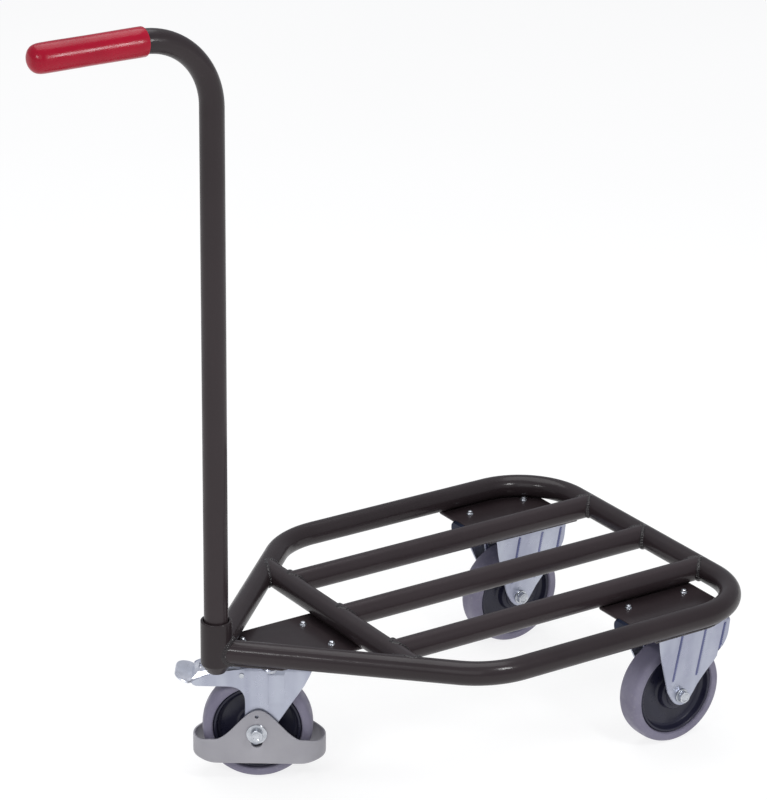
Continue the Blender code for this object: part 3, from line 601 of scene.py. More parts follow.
def bent_path(corners, radii, steps=BEND_STEPS):
    """(point, direction, share of the bend) stations along straight runs and round bends."""
    stations = [(corners[0], (corners[1] - corners[0]).normalized(), 0.0)]
    for before, corner, after, radius in zip(corners, corners[1:], corners[2:], radii):
        into = (corner - before).normalized()
        out = (after - corner).normalized()
        turn = into.angle(out)
        start = corner - into * (radius * math.tan(turn / 2))
        inward = (out - into * into.dot(out)).normalized()
        for k in range(steps + 1):
            angle = turn * k / steps
            swing = into * math.sin(angle) + inward * (1 - math.cos(angle))
            heading = into * math.cos(angle) + inward * math.sin(angle)
            stations.append((start + swing * radius, heading, math.sin(math.pi * k / steps)))
    stations.append((corners[-1], (corners[-1] - corners[-2]).normalized(), 0.0))
    return stations


def tube(stations, binormal, fits=(None, None), radius=TUBE_R, flatten=0.0, wall=0.0):
    """A round tube.  A fit slides the points of an end along the tube to where they stop."""
    skins = []
    last = len(stations) - 1
    for reach in (radius, radius - wall) if wall else (radius,):
        rings = []
        for index, (point, along, bend) in enumerate(stations):
            normal = binormal.cross(along).normalized()
            ring = []
            for k in range(TUBE_SIDES):
                angle = math.tau * k / TUBE_SIDES
                spoke = normal * (math.cos(angle) * (1 - flatten * bend)) + binormal * math.sin(angle)
                place = point + spoke * reach
                fit = fits[0] if index == 0 else fits[1] if index == last else None
                ring.append(fit(place, along) if fit else place)
            rings.append(ring)
        skins.append(rings)
    if wall:
        return loft(skins[0] + skins[1][::-1], loop=True)
    return loft(skins[0])


def until_tube(point, along, axis_point, axis, radius):
    """Slides a point along a line to the near side of a round tube."""
    a = along - axis * along.dot(axis)
    b = point - axis_point
    b = b - axis * b.dot(axis)
    half = a.dot(b)
    square = a.dot(a)
    root = math.sqrt(max(half * half - square * (b.dot(b) - radius * radius), 0.0))
    steps = ((-half - root) / square, (-half + root) / square)
    return point + along * min(steps, key=abs)


def stitch(points, radius, pitch=0.0034):
    """A short weld bead: a ridge of overlapping ripples with tapered ends."""
    lengths = [0.0]
    for a, b in zip(points, points[1:]):
        lengths.append(lengths[-1] + (b - a).length)
    total = lengths[-1]
    count = max(8, round(total / pitch)) * 6
    rings = []
    place = 0
    for k in range(count + 1):
        along = total * k / count
        while lengths[place + 1] < along and place < len(points) - 2:
            place += 1
        span = lengths[place + 1] - lengths[place]
        point = points[place].lerp(points[place + 1], (along - lengths[place]) / span)
        heading = (points[place + 1] - points[place]).normalized()
        lump = noise.noise(point * 260.0)
        ripple = math.sqrt(abs(math.sin(math.pi * along / pitch)))
        swell = radius * (0.86 + 0.24 * ripple + 0.16 * lump)
        swell *= math.sqrt(max(math.sin(math.pi * (0.04 + 0.92 * k / count)), 0.05))
        side = heading.cross(UP).normalized()
        ring = []
        for n in range(12):
            angle = math.tau * n / 12
            ring.append(point + (side * math.cos(angle) + UP * math.sin(angle)) * swell)
        rings.append(ring)
    return loft(rings)


def weld_ring(start, along, normal, axis_point, axis, other_r=TUBE_R):
    """A rippled fillet weld round a tube's end, where it meets another tube or the socket.

    The start is on the end tube's axis, outside the other one, and along points towards it.
    """
    binormal = along.cross(normal)
    steps = 192
    corners = []
    for k in range(steps):
        angle = math.tau * k / steps
        spoke = normal * math.cos(angle) + binormal * math.sin(angle)
        corners.append((until_tube(start + spoke * TUBE_R, along, axis_point, axis, other_r), spoke))
    rings = []
    for k, (corner, spoke) in enumerate(corners):
        path = (corners[(k + 1) % steps][0] - corners[k - 1][0]).normalized()
        radial = corner - axis_point
        radial = (radial - axis * radial.dot(axis)).normalized()
        spread = radial.cross(path)
        if spread.dot(spoke + along) < 0:
            spread = -spread
        ripple = math.sqrt(abs(math.sin(math.pi * k / steps * WELD_RIPPLES)))
        lump = noise.noise(corner * 190.0)
        width = WELD_WIDTH * (0.86 + 0.20 * ripple + 0.35 * lump)
        height = WELD_HEIGHT * (0.70 + 0.55 * ripple + 0.70 * lump)
        first = corner - along * width - spoke * 0.0003
        last = corner + spread * width
        off = last - axis_point
        off = off - axis * off.dot(axis)
        last = last - off.normalized() * (off.length - other_r + 0.0003)
        out = (spoke + radial).normalized()
        crest = (first + last) / 2 + out * 2 * height
        ring = []
        for n in range(9):
            t = n / 8
            ring.append(first.lerp(crest, t).lerp(crest.lerp(last, t), t))
        ring.append(corner - out * 0.0016)
        rings.append(ring)
    return loft(rings, loop=True)


# ----------------------------------------------------------------- the frame


def make_frame_tubes():
    """Loop, cross tube and deck tubes, each end run into its neighbour and welded round."""
    post = Vector((0.0, 0.0, TUBE_Z))
    front_right = Vector((CORNER_X, -SIDE_Y, TUBE_Z))
    front_left = Vector((CORNER_X, SIDE_Y, TUBE_Z))
    rear_right = Vector((REAR_X, -SIDE_Y, TUBE_Z))
    rear_left = Vector((REAR_X, SIDE_Y, TUBE_Z))
    sunk = 0.0012
    names = {-1: "right", 1: "left"}

    def to_socket(point, along):
        away = along if along.x > 0 else -along
        return until_tube(point + away * 0.03, away, post, UP, SOCKET_R - sunk)

    stations = bent_path(
        [post, front_right, rear_right, rear_left, front_left, post],
        [FRONT_BEND_R, SIDE_BEND_R, SIDE_BEND_R, FRONT_BEND_R],
    )
    fine("frame_loop", tube(stations, UP, (to_socket, to_socket), flatten=0.02), cart_place)

    for side, corner in ((-1, front_right), (1, front_left)):
        lean = (corner - post).normalized()
        flat = UP.cross(lean)
        add_weld(f"socket_{names[side]}", weld_ring(post + lean * 0.03, -lean, flat, post, UP, SOCKET_R))

    sideways = Vector((0.0, 1.0, 0.0))
    lean_left = (front_left - post).normalized()
    lean_right = (front_right - post).normalized()
    reach = CROSS_X * SIDE_Y / CORNER_X - 0.018
    ends = []
    for side, lean in ((-1, lean_right), (1, lean_left)):
        ends.append(lambda point, along, lean=lean: until_tube(point, along, post, lean, TUBE_R - sunk))
        end = Vector((CROSS_X, side * reach, TUBE_Z))
        add_weld(f"cross_{names[side]}", weld_ring(end, sideways * side, UP, post, lean))
    stations = [
        (Vector((CROSS_X, -reach, TUBE_Z)), sideways, 0.0),
        (Vector((CROSS_X, reach, TUBE_Z)), sideways, 0.0),
    ]
    fine("front_cross_tube", tube(stations, UP, ends), cart_place)

    rearward = Vector((1.0, 0.0, 0.0))
    cross = Vector((CROSS_X, 0.0, TUBE_Z))
    rear = Vector((REAR_X, 0.0, TUBE_Z))
    fits = (
        lambda point, along: until_tube(point, along, cross, sideways, TUBE_R - sunk),
        lambda point, along: until_tube(point, along, rear, sideways, TUBE_R - sunk),
    )
    for name, y in (("right", -DECK_TUBE_Y), ("middle", 0.0), ("left", DECK_TUBE_Y)):
        front_end = Vector((CROSS_X + TUBE_R, y, TUBE_Z))
        rear_end = Vector((REAR_X - TUBE_R, y, TUBE_Z))
        stations = [(front_end, rearward, 0.0), (rear_end, rearward, 0.0)]
        fine(f"deck_tube_{name}", tube(stations, UP, fits), cart_place)
        add_weld(f"{name}_front", weld_ring(front_end, -rearward, UP, cross, sideways))
        add_weld(f"{name}_rear", weld_ring(rear_end, rearward, UP, rear, sideways))


def add_weld(name, bm):
    return add_piece(f"weld_{name}", bm, "frame_coat", "frame", cart_place, weld_look, sharp=60)


def make_socket():
    """Blind socket with a rolled lip; its bore shows when the handle is lifted out."""
    profile = [
        (0.0, SOCKET_FOOT_Z),
        (SOCKET_FOOT_R, SOCKET_FOOT_Z),
        (SOCKET_R - 0.0012, SOCKET_CONE_TOP - 0.0018),
        (SOCKET_R, SOCKET_CONE_TOP),
        (SOCKET_R, SOCKET_TOP),
        (SOCKET_BORE_R, SOCKET_TOP),
        (SOCKET_BORE_R, SOCKET_FLOOR),
        (0.0, SOCKET_FLOOR),
    ]
    fine("handle_socket", turned(profile, 72, 0.0016, closed=False), cart_place)


def flat_plate(z):
    """Lays a sheet flat with its upper face at a height."""
    return lambda x, y: (Vector((x, y, z)), UP)


def castor_holes(x, y):
    places = [(sx * BOLT_X, sy * BOLT_Y) for sx in (-1, 1) for sy in (-1, 1)]
    return [circle(x + dx, y + dy, BOLT_HOLE_R) for dx, dy in places]


def make_plates():
    """Castor plates, the tabs in front of the rear ones, and their stitch welds."""
    castor_x = swivel_axis.x - cart_place.translation.x
    slope = SIDE_Y / CORNER_X
    angle = math.degrees(math.atan(slope))
    outline = arc(0.0, 0.0, SOCKET_R + GAP, angle, -angle, 10)
    outline += [
        (FRONT_PLATE_Y / slope, -FRONT_PLATE_Y),
        (FRONT_PLATE_BACK, -FRONT_PLATE_Y),
        (FRONT_PLATE_BACK, FRONT_PLATE_Y),
        (FRONT_PLATE_Y / slope, FRONT_PLATE_Y),
    ]
    loops = [outline] + castor_holes(castor_x, 0.0)
    fine("front_castor_plate", sheet(loops, PLATE_T, 0.012, flat_plate(PLATE_TOP)), cart_place)
    corner = PLATE_LOW + PLATE_T * 0.75
    for name, side in (("left", 1), ("right", -1)):
        path = [Vector((x, side * (x * slope + 0.0010), corner)) for x in (0.026, 0.034, 0.042)]
        add_weld(f"front_plate_{name}", stitch(path, 0.0021))

    bend_x = REAR_X - SIDE_BEND_R
    bend_y = SIDE_Y - SIDE_BEND_R
    edge = REAR_PLATE_OUT - bend_y
    stop = math.degrees(math.acos((REAR_PLATE_BACK - bend_x) / edge))
    for name, side in (("left", 1), ("right", -1)):
        axle = Vector(joints[f"rear_{name}_wheel_spin"]["pos_m"])
        outline = [(REAR_PLATE_FRONT, REAR_PLATE_IN), (REAR_PLATE_BACK, REAR_PLATE_IN)]
        outline += arc(bend_x, bend_y, edge, stop, 90, 12)
        outline += [(REAR_PLATE_FRONT, REAR_PLATE_OUT)]
        outline = [(x, side * y) for x, y in outline]
        loops = [outline] + castor_holes(axle.x - cart_place.translation.x, axle.y)
        bm = sheet(loops, PLATE_T, 0.012, flat_plate(PLATE_TOP))
        fine(f"rear_{name}_plate", bm, cart_place)

        low = PLATE_LOW - TAB_DROP
        high = PLATE_LOW + PLATE_T / 2
        face = [(TAB_IN, high), (TAB_IN, low), (TAB_OUT, low), (TAB_OUT, high)]
        face = [(side * y, z) for y, z in soften(face, 0.006, 6)]

        def stand(y, z):
            return Vector((TAB_FRONT, y, z)), Vector((-1.0, 0.0, 0.0))

        bm = sheet([face], TAB_T, 0.010, stand)
        # The lip is zinc, but it takes the near-black copy: painted shade under the plate.
        add_piece(f"rear_{name}_castor_lip", bm, "zinc", "frame", cart_place, painted_shade_zinc)

        for number, x in enumerate((0.462, 0.505), start=1):
            for place, y in (("outer", REAR_PLATE_OUT + 0.0008), ("inner", REAR_PLATE_IN - 0.0008)):
                path = [Vector((x + d, side * y, corner)) for d in (0.0, 0.012, 0.024)]
                add_weld(f"rear_{name}_{place}_{number}", stitch(path, 0.0021))


# ---------------------------------------------------------------- the handle


def make_handle():
    """Bent tube, a little flattened in its bend, with its grip."""
    foot = SOCKET_FLOOR + GAP
    end_x = GRIP_OUTER_X + GRIP_END_WALL + GAP
    corners = [
        Vector((0.0, 0.0, foot)),
        Vector((0.0, 0.0, GRIP_AXIS_Z)),
        Vector((end_x, 0.0, GRIP_AXIS_Z)),
    ]
    stations = bent_path(corners, [HANDLE_BEND_R])
    bm = tube(stations, Vector((0.0, 1.0, 0.0)), flatten=HANDLE_FLATTENING, wall=TUBE_WALL)
    fine("handle_tube", bm, cart_place)

    length = GRIP_INNER_X - GRIP_OUTER_X
    bore = TUBE_R + GAP
    dome = [(0.0, 0.0), (0.0040, 0.0002), (0.0075, 0.0010), (0.0115, 0.0034), (0.0142, 0.0068)]
    dome = flowing(dome + [(0.0155, 0.0110), (GRIP_R - 0.0001, 0.0160)], 4)
    profile = dome + [
        (GRIP_R, 0.030),
        (GRIP_R - 0.0002, length * 0.5),
        (GRIP_R, length - 0.012),
        (GRIP_R, length - 0.0018),
        (GRIP_R - 0.0003, length - 0.0008),
        (GRIP_R - 0.0012, length - 0.0001),
        (bore + 0.0003, length),
        (bore, length - 0.0012),
        (bore, GRIP_END_WALL),
        (0.0, GRIP_END_WALL),
    ]
    bm = turned(profile, 72, closed=False)
    lay = Matrix.Translation((GRIP_OUTER_X, 0.0, GRIP_AXIS_Z)) @ Matrix.Rotation(math.pi / 2, 4, "Y")
    fine("handle_grip", bm, cart_place @ lay)


# ----------------------------------------------------------------- fasteners


def hex_reach(angle, half, soft=0.0004):
    """Distance from the axis to a hexagon's side, with its corners a little rounded."""
    turn = (angle + math.pi / 6) % (math.pi / 3) - math.pi / 6
    return min(half / math.cos(turn), half / math.cos(math.pi / 6) - soft)


def hex_rings(half, low, high, chamfer_top=True, chamfer_low=False):
    """Rings of a hexagonal head or nut, with its corners cut back by a cone."""
    slope = math.tan(math.radians(30))
    height = high - low
    rings = []
    for share in (0.0, 0.03, 0.08, 0.16, 0.5, 0.84, 0.92, 0.97, 1.0):
        z = low + height * share
        ring = []
        for k in range(72):
            angle = math.tau * k / 72
            reach = hex_reach(angle, half)
            if chamfer_top:
                reach = min(reach, half * 0.97 + (high - z) / slope)
            if chamfer_low:
                reach = min(reach, half * 0.97 + (z - low) / slope)
            ring.append(Vector((reach * math.cos(angle), reach * math.sin(angle), z)))
        rings.append(ring)
    return rings


def round_ring(radius, z, steps=72):
    return [Vector((x, y, z)) for x, y in circle(0.0, 0.0, radius, steps)]


def thread(low, high, radius=BOLT_R):
    """(radius, height) crests and roots of a thread."""
    turns = max(1, int((high - low) / THREAD_PITCH))
    pitch = (high - low) / turns
    made = []
    for k in range(turns):
        made += [(radius - THREAD_DEPTH, low + pitch * k), (radius, low + pitch * (k + 0.35))]
        made += [(radius, low + pitch * (k + 0.65))]
    return made + [(radius - THREAD_DEPTH, high)]


def make_castor_bolts():
    """Hexagon bolts up through the castor plates, with threaded, rounded tips on top."""
    for node in sorted(name for name in slots if "castor_bolt_" in name):
        low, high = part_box(node)
        middle = (low + high) / 2
        seat = low.z + HEX_HEIGHT
        rings = hex_rings(HEX_HALF, low.z, seat, chamfer_top=False, chamfer_low=True)
        tip = [(0.0030, high.z - 0.0026), (0.0029, high.z - 0.0011), (0.0024, high.z - 0.0004), (0.0014, high.z)]
        for radius, z in thread(seat, high.z - 0.0030) + tip:
            rings.append(round_ring(radius, z))
        fine(node, loft(rings), Matrix.Translation((middle.x, middle.y, 0.0)), sharp=30)


def make_axle(castor, cheek_y, seat_y, flange_r, head_side, place):
    """Axle bolt with its flange and dished head, and the nut on its threaded end."""
    seat = seat_y + GAP
    flange_t = 0.0014
    head = seat + flange_t
    top = head + HEX_HEIGHT
    rings = [
        round_ring(BOLT_R - 0.0004, -seat - 0.0098),
        round_ring(BOLT_R - 0.0001, -seat - 0.0092),
    ]
    rings += [round_ring(radius, z) for radius, z in thread(-seat - 0.0088, -seat + 0.004)]
    rings += [
        round_ring(BOLT_R, seat),
        round_ring(flange_r - 0.0003, seat),
        round_ring(flange_r, seat + 0.0003),
        round_ring(flange_r, head - 0.0004),
        round_ring(flange_r - 0.0004, head),
        round_ring(HEX_HALF + 0.0014, head + 0.0001),
    ]
    rings += hex_rings(HEX_HALF, head + 0.0001, top)
    rings += [
        round_ring(HEX_HALF * 0.72, top),
        round_ring(HEX_HALF * 0.60, top - 0.0006),
        round_ring(HEX_HALF * 0.20, top - 0.0007),
    ]
    turn = Matrix.Rotation(math.pi if head_side > 0 else 0.0, 4, "Z")
    fine(f"{castor}_axle_bolt", across(loft(rings)), place @ turn, sharp=30)

    low = -seat - 0.0068
    rings = hex_rings(HEX_HALF, low, -seat, chamfer_low=True)
    bore = BOLT_R + GAP
    rings.append(round_ring(bore + 0.0004, -seat))
    rings.append(round_ring(bore, -seat - 0.0004))
    rings.append(round_ring(bore, low + 0.0004))
    rings.append(round_ring(bore + 0.0004, low))
    fine(f"{castor}_axle_nut", across(loft(rings, loop=True)), place @ turn, sharp=30)
    keep(f"{castor}_axle_sleeve")


# -------------------------------------------------------------------- wheels


def make_wheel(castor, place):
    """Tyre with round shoulders, stepped rim, and bearings with a shield and a seal groove."""
    half = WHEEL_HALF
    seat = RIM_R + GAP
    shoulder = [
        (seat, half - 0.0026),
        (seat + 0.0008, half - 0.0006),
        (seat + 0.0022, half),
        (seat + 0.0040, half - 0.0001),
        (WHEEL_R - 0.0058, half - 0.0004),
        (WHEEL_R - 0.0030, half - 0.0016),
        (WHEEL_R - 0.0012, half - 0.0044),
        (WHEEL_R - 0.0003, half - 0.0085),
        (WHEEL_R, half - 0.0125),
    ]
    outer = flowing(shoulder, 3)
    tyre = outer + [(radius, -z) for radius, z in reversed(outer)]
    fine(f"{castor}_tyre", across(turned(tyre, WHEEL_STEPS)), place)

    bore = BEARING_R + GAP
    face = [
        (bore, HUB_HALF),
        (HUB_R - 0.0024, HUB_HALF),
        (HUB_R - 0.0020, HUB_HALF - 0.0012),
        (HUB_R, HUB_HALF - 0.0012),
        (HUB_R + 0.0004, 0.0158),
        (0.0192, 0.0154),
        (0.0206, 0.0140),
        (0.0212, 0.0066),
        (0.0240, 0.0054),
        (0.0415, 0.0050),
        (0.0444, 0.0066),
        (0.0456, 0.0100),
        (0.0462, half - 0.0030),
        (0.0470, half - 0.0022),
        (RIM_R - 0.0010, half - 0.0022),
        (RIM_R, half - 0.0040),
    ]
    rim = [(radius, -z) for radius, z in face] + face[::-1]
    fine(f"{castor}_rim", across(turned(rim, WHEEL_STEPS, 0.0009)), place)
    for side in ("left", "right"):
        keep(f"{castor}_bearing_{side}", 0.0002)


# --------------------------------------------------------------------- forks


def fold(corners, radii):
    """Half of a folded strip in the (y, z) plane, from its middle outwards and down.

    Returns a function from the length along the strip to (point, outward normal), and another
    from a height on the cheek to the length along the strip.
    """
    stations = bent_path([Vector((0.0, y, z)) for y, z in corners], radii, 8)
    lengths = [0.0]
    for (a, _, _), (b, _, _) in zip(stations, stations[1:]):
        lengths.append(lengths[-1] + (b - a).length)

    def at(length):
        reach = abs(length)
        k = 0
        while k < len(stations) - 2 and lengths[k + 1] < reach:
            k += 1
        (first, heading, _), (second, after, _) = stations[k], stations[k + 1]
        share = (reach - lengths[k]) / max(lengths[k + 1] - lengths[k], 1e-9)
        point = first.lerp(second, share)
        way = heading.lerp(after, min(max(share, 0.0), 1.0)).normalized()
        normal = Vector((0.0, -way.z, way.y))
        if length < 0:
            point.y = -point.y
            normal.y = -normal.y
        return point, normal

    def reach_of(z):
        for k in range(len(stations) - 1):
            first, second = stations[k][0], stations[k + 1][0]
            if first.z >= z >= second.z and first.z > second.z:
                share = (first.z - z) / (first.z - second.z)
                return lengths[k] + (lengths[k + 1] - lengths[k]) * share
        return lengths[-1] + stations[-1][0].z - z

    return at, reach_of


def folded_sheet(at, half, relief, spacing, lines):
    """A folded sheet from half of its outline, as (length along the strip, x)."""
    whole = list(half) + [(-s, x) for s, x in reversed(half) if abs(s) > 1e-6]

    def place(s, x):
        point, normal = at(s)
        return Vector((x, point.y, point.z)) + normal * relief(x, point.z), normal

    return sheet([whole], SHEET_T, spacing, place, lines)


def band(x, low, high, ramp):
    """One between two edges of a pressed band, falling to zero over the ramp at each."""
    return eased((x - low) / ramp + 0.5) * eased((high - x) / ramp + 0.5)


def rear_relief(x, z):
    """Three pressed grooves on the cheeks of a rear fork, which fade out above the axle."""
    fade = eased((z - 0.078) / 0.012) * eased((0.1535 - z) / 0.006)
    return -GROOVE_DEPTH * fade * sum(band(x, line - 0.0018, line + 0.0018, 0.0018) for line in REAR_GROOVES)


def make_rear_fork(castor, place):
    """One-piece pressed fork: flat top, sides that slant in, and cheeks with pressed bands."""
    edge = TOP_PLATE_WIDTH / 2
    upright_to = WHEEL_R + 0.010
    outline = [
        (0.0505, 0.0013, 0.0013),
        (0.0510, -0.0020, 0.0046),
        (0.0520, -0.0044, 0.0068),
        (0.0543, -0.0082, 0.0102),
        (0.0600, -0.0130, 0.0146),
        (upright_to, -0.0200, 0.0230),
        (0.0858, -0.0252, 0.0312),
        (0.1005, -0.0309, 0.0415),
        (0.1180, -0.0375, 0.0498),
        (0.1310, -0.0420, 0.0535),
        (0.1450, -0.0460, 0.0530),
        (0.1535, -0.0485, 0.0525),
    ]
    foot_z = outline[0][0]
    at, reach_of = fold(
        [(0.0, TOP_PLATE_HIGH), (edge, TOP_PLATE_HIGH), (REAR_CHEEK_Y, upright_to), (REAR_CHEEK_Y, foot_z)],
        [0.0050, 0.0120],
    )
    front_edge = flowing([(reach_of(z), front) for z, front, _ in reversed(outline)], 4)
    back_edge = flowing([(reach_of(z), back) for z, _, back in outline], 4)
    bend = edge - 0.0050
    half = soften([(0.0, -TOP_PLATE_LENGTH / 2), (bend, -TOP_PLATE_LENGTH / 2), front_edge[0]], 0.002, 3, False)
    half = half + front_edge[1:] + back_edge[1:] + [(bend, TOP_PLATE_LENGTH / 2), (0.0, TOP_PLATE_LENGTH / 2)]
    bm = folded_sheet(at, half, rear_relief, 0.0026, REAR_GROOVES)
    fork = fine(f"{castor}_fork", bm, place, sharp=32)
    # Faces deep in the cheeks' grooves take the dark copy of the zinc: painted shade in the grooves.
    fork.data.materials.append(painted_groove_shade_zinc)
    for face in fork.data.polygons:
        spot = place.inverted() @ face.center
        if rear_relief(spot.x, spot.z) < -GROOVE_DEPTH * 0.45 and abs(spot.y) > REAR_CHEEK_Y - SHEET_T:
            face.material_index = 1


def front_relief(x, z):
    """Pressed band and small boss on the cheeks of the front fork."""
    fade = eased((z - 0.094) / 0.008) * eased((0.1385 - z) / 0.004)
    press = 0.0016 * band(x, *FRONT_PRESS, 0.0026) * fade
    boss = 0.0010 * eased(1.6 - math.hypot(x - 0.019, z - 0.1345) / 0.0026)
    return press + boss * eased((0.1405 - z) / 0.003)


def make_front_fork():
    """Pressed fork whose cheeks run on into two arms beside the brake lever."""
    corner = [
        (0.0485, 0.0300, 0.0400),
        (0.0510, 0.0252, 0.0440),
        (0.0560, 0.0210, 0.0462),
        (0.0660, 0.0153, 0.0465),
        (0.0780, 0.0077, 0.0460),
        (0.1010, -0.0069, 0.0460),
        (0.1090, -0.0120, 0.0476),
        (0.1150, -0.0158, 0.0520),
        (0.1182, -0.0178, 0.0585),
    ]
    at, reach_of = fold(
        [(0.0, CROWN_TOP), (FRONT_CHEEK_Y, CROWN_TOP), (FRONT_CHEEK_Y, corner[0][0])], [CROWN_BEND_R]
    )
    front = [(0.1382, -0.0276), (0.1330, -0.0255), (0.1250, -0.0215), (0.1212, -0.0198)]
    front += [(z, x) for z, x, _ in reversed(corner)]
    arm = [(z, x) for z, _, x in corner]
    arm += [(0.1192, 0.0660), (0.1194, 0.0980), (0.1200, 0.1020), (0.1212, 0.1045), (0.1232, 0.1052)]
    arm += [(0.1252, 0.1046), (0.1272, 0.1010), (0.1330, 0.0870), (0.1382, 0.0660), (0.1404, 0.0500)]
    down = flowing([(reach_of(z), x) for z, x in front], 4)
    foot = [(reach_of(0.0472), 0.0332), (reach_of(0.0472), 0.0368)]
    up = flowing([(reach_of(z), x) for z, x in arm], 4)
    top = FRONT_CHEEK_Y - CROWN_BEND_R
    half = [(0.0, -0.0284), (top, -0.0284)] + down + foot + up + [(top + 0.003, 0.0330), (top, 0.0310), (0.0, 0.0310)]
    fine("front_castor_fork", folded_sheet(at, half, front_relief, 0.0022, FRONT_PRESS), swivel_place, sharp=32)


# -------------------------------------------------------- front castor's rest


def make_swivel_head():
    """Top plate, the two domed halves of the swivel bearing, and the kingpin."""
    x = TOP_PLATE_LENGTH / 2
    y = TOP_PLATE_WIDTH / 2
    outline = soften([(-x, -y), (x, -y), (x, y), (-x, y)], 0.008, 8)
    loops = [outline, circle(0.0, 0.0, KINGPIN_R + GAP)] + castor_holes(0.0, 0.0)
    base = Matrix.Translation((swivel_axis.x, 0.0, 0.0))
    fine("front_castor_top_plate", sheet(loops, TOP_PLATE_T, 0.012, flat_plate(TOP_PLATE_HIGH)), base)

    bore = KINGPIN_R + GAP
    top = TOP_PLATE_LOW - GAP
    upper = [
        (bore, RACE_SPLIT_Z + GAP),
        (RACE_R - 0.0070, RACE_SPLIT_Z + GAP),
        (RACE_R - 0.0010, RACE_SPLIT_Z + 0.0004),
        (RACE_R, RACE_SPLIT_Z + 0.0020),
        (RACE_R - 0.0010, top),
        (bore, top),
    ]
    fine("front_castor_upper_race", turned(upper, 96, 0.0010), base)
    lower = [
        (bore, CROWN_TOP + GAP),
        (RACE_R - 0.0050, CROWN_TOP + GAP),
        (RACE_R - 0.0020, CROWN_TOP + 0.0025),
        (RACE_R - 0.0080, RACE_SPLIT_Z),
        (bore, RACE_SPLIT_Z),
    ]
    fine("front_castor_lower_race", turned(lower, 96, 0.0008), base)
    keep("front_castor_kingpin")


def guard_end(x):
    """Zero along the sides of the guard, and one at its two round ends."""
    return eased((abs(x - GUARD_MIDDLE_X) - 0.050) / 0.022)


def guard_top(x):
    """Height of the guard's upper edge, which rises to a bell shape at the axle."""
    bell = eased((0.050 - abs(x - GUARD_MIDDLE_X)) / 0.050)
    return GUARD_RIM + (GUARD_CREST - GUARD_RIM) * bell - GUARD_END_DROP * guard_end(x)


def guard_plan(inset):
    """Plan of the guard, set in from its outer face."""
    x0 = GUARD_MIDDLE_X - GUARD_HALF_LENGTH + inset
    x1 = GUARD_MIDDLE_X + GUARD_HALF_LENGTH - inset
    y1 = GUARD_OUTER_HALF - inset
    corner = GUARD_CORNER_R - inset
    straight = GUARD_HALF_LENGTH - GUARD_CORNER_R
    along = [straight * (k / 30 - 1) for k in range(1, 60)]
    return (
        [(GUARD_MIDDLE_X + x, -y1) for x in along]
        + arc(x1 - corner, corner - y1, corner, -90, 0, 16)
        + arc(x1 - corner, y1 - corner, corner, 0, 90, 16)
        + [(GUARD_MIDDLE_X - x, y1) for x in along]
        + arc(x0 + corner, y1 - corner, corner, 90, 180, 16)
        + arc(x0 + corner, corner - y1, corner, 180, 270, 16)
    )


def make_guard():
    """Moulded guard with a rounded rim, a slot for the axle bolt and a small moulded hole."""
    outer = guard_plan(0.0)
    inner = guard_plan(GUARD_WALL)
    rounding = [(0.0, 0.50), (0.04, 0.18), (0.20, 0.03), (0.50, 0.0)]
    sections = []
    for (ox, oy), (ix, iy) in zip(outer, inner):
        top = guard_top(ox)
        low = GUARD_LOW + GUARD_END_RISE * guard_end(ox)
        steps = []
        for depth, share in rounding:
            steps.append((share, low + depth * 0.006))
        for depth, share in reversed(rounding):
            steps.append((share, top - depth * 0.006))
        for depth, share in rounding:
            steps.append((1 - share, top - depth * 0.006))
        for depth, share in reversed(rounding):
            steps.append((1 - share, low + depth * 0.006))
        section = []
        for share, z in steps:
            section.append(Vector((ox + (ix - ox) * share, oy + (iy - oy) * share, z)))
        sections.append(section)
    guard = fine("front_wheel_guard", loft(sections, loop=True), swivel_place)
    thickness = 0.05
    slot = [Vector((x, z, -thickness)) for x, z in long_hole(0.0, 0.0, 0.0066, 0.0048, 12)]
    slot = loft([slot, [point + UP * 2 * thickness for point in slot]])
    hole = loft([round_ring(0.0023, -thickness, 24), round_ring(0.0023, thickness, 24)])
    cutters = []
    for bm, z in ((slot, WHEEL_R - 0.0060), (hole, 0.0835)):
        bm = across(bm)
        place = swivel_place @ Matrix.Translation((TRAIL, 0.0, z))
        bmesh.ops.transform(bm, matrix=place, verts=bm.verts)
        cutters.append(bm)
    cut(guard, cutters)


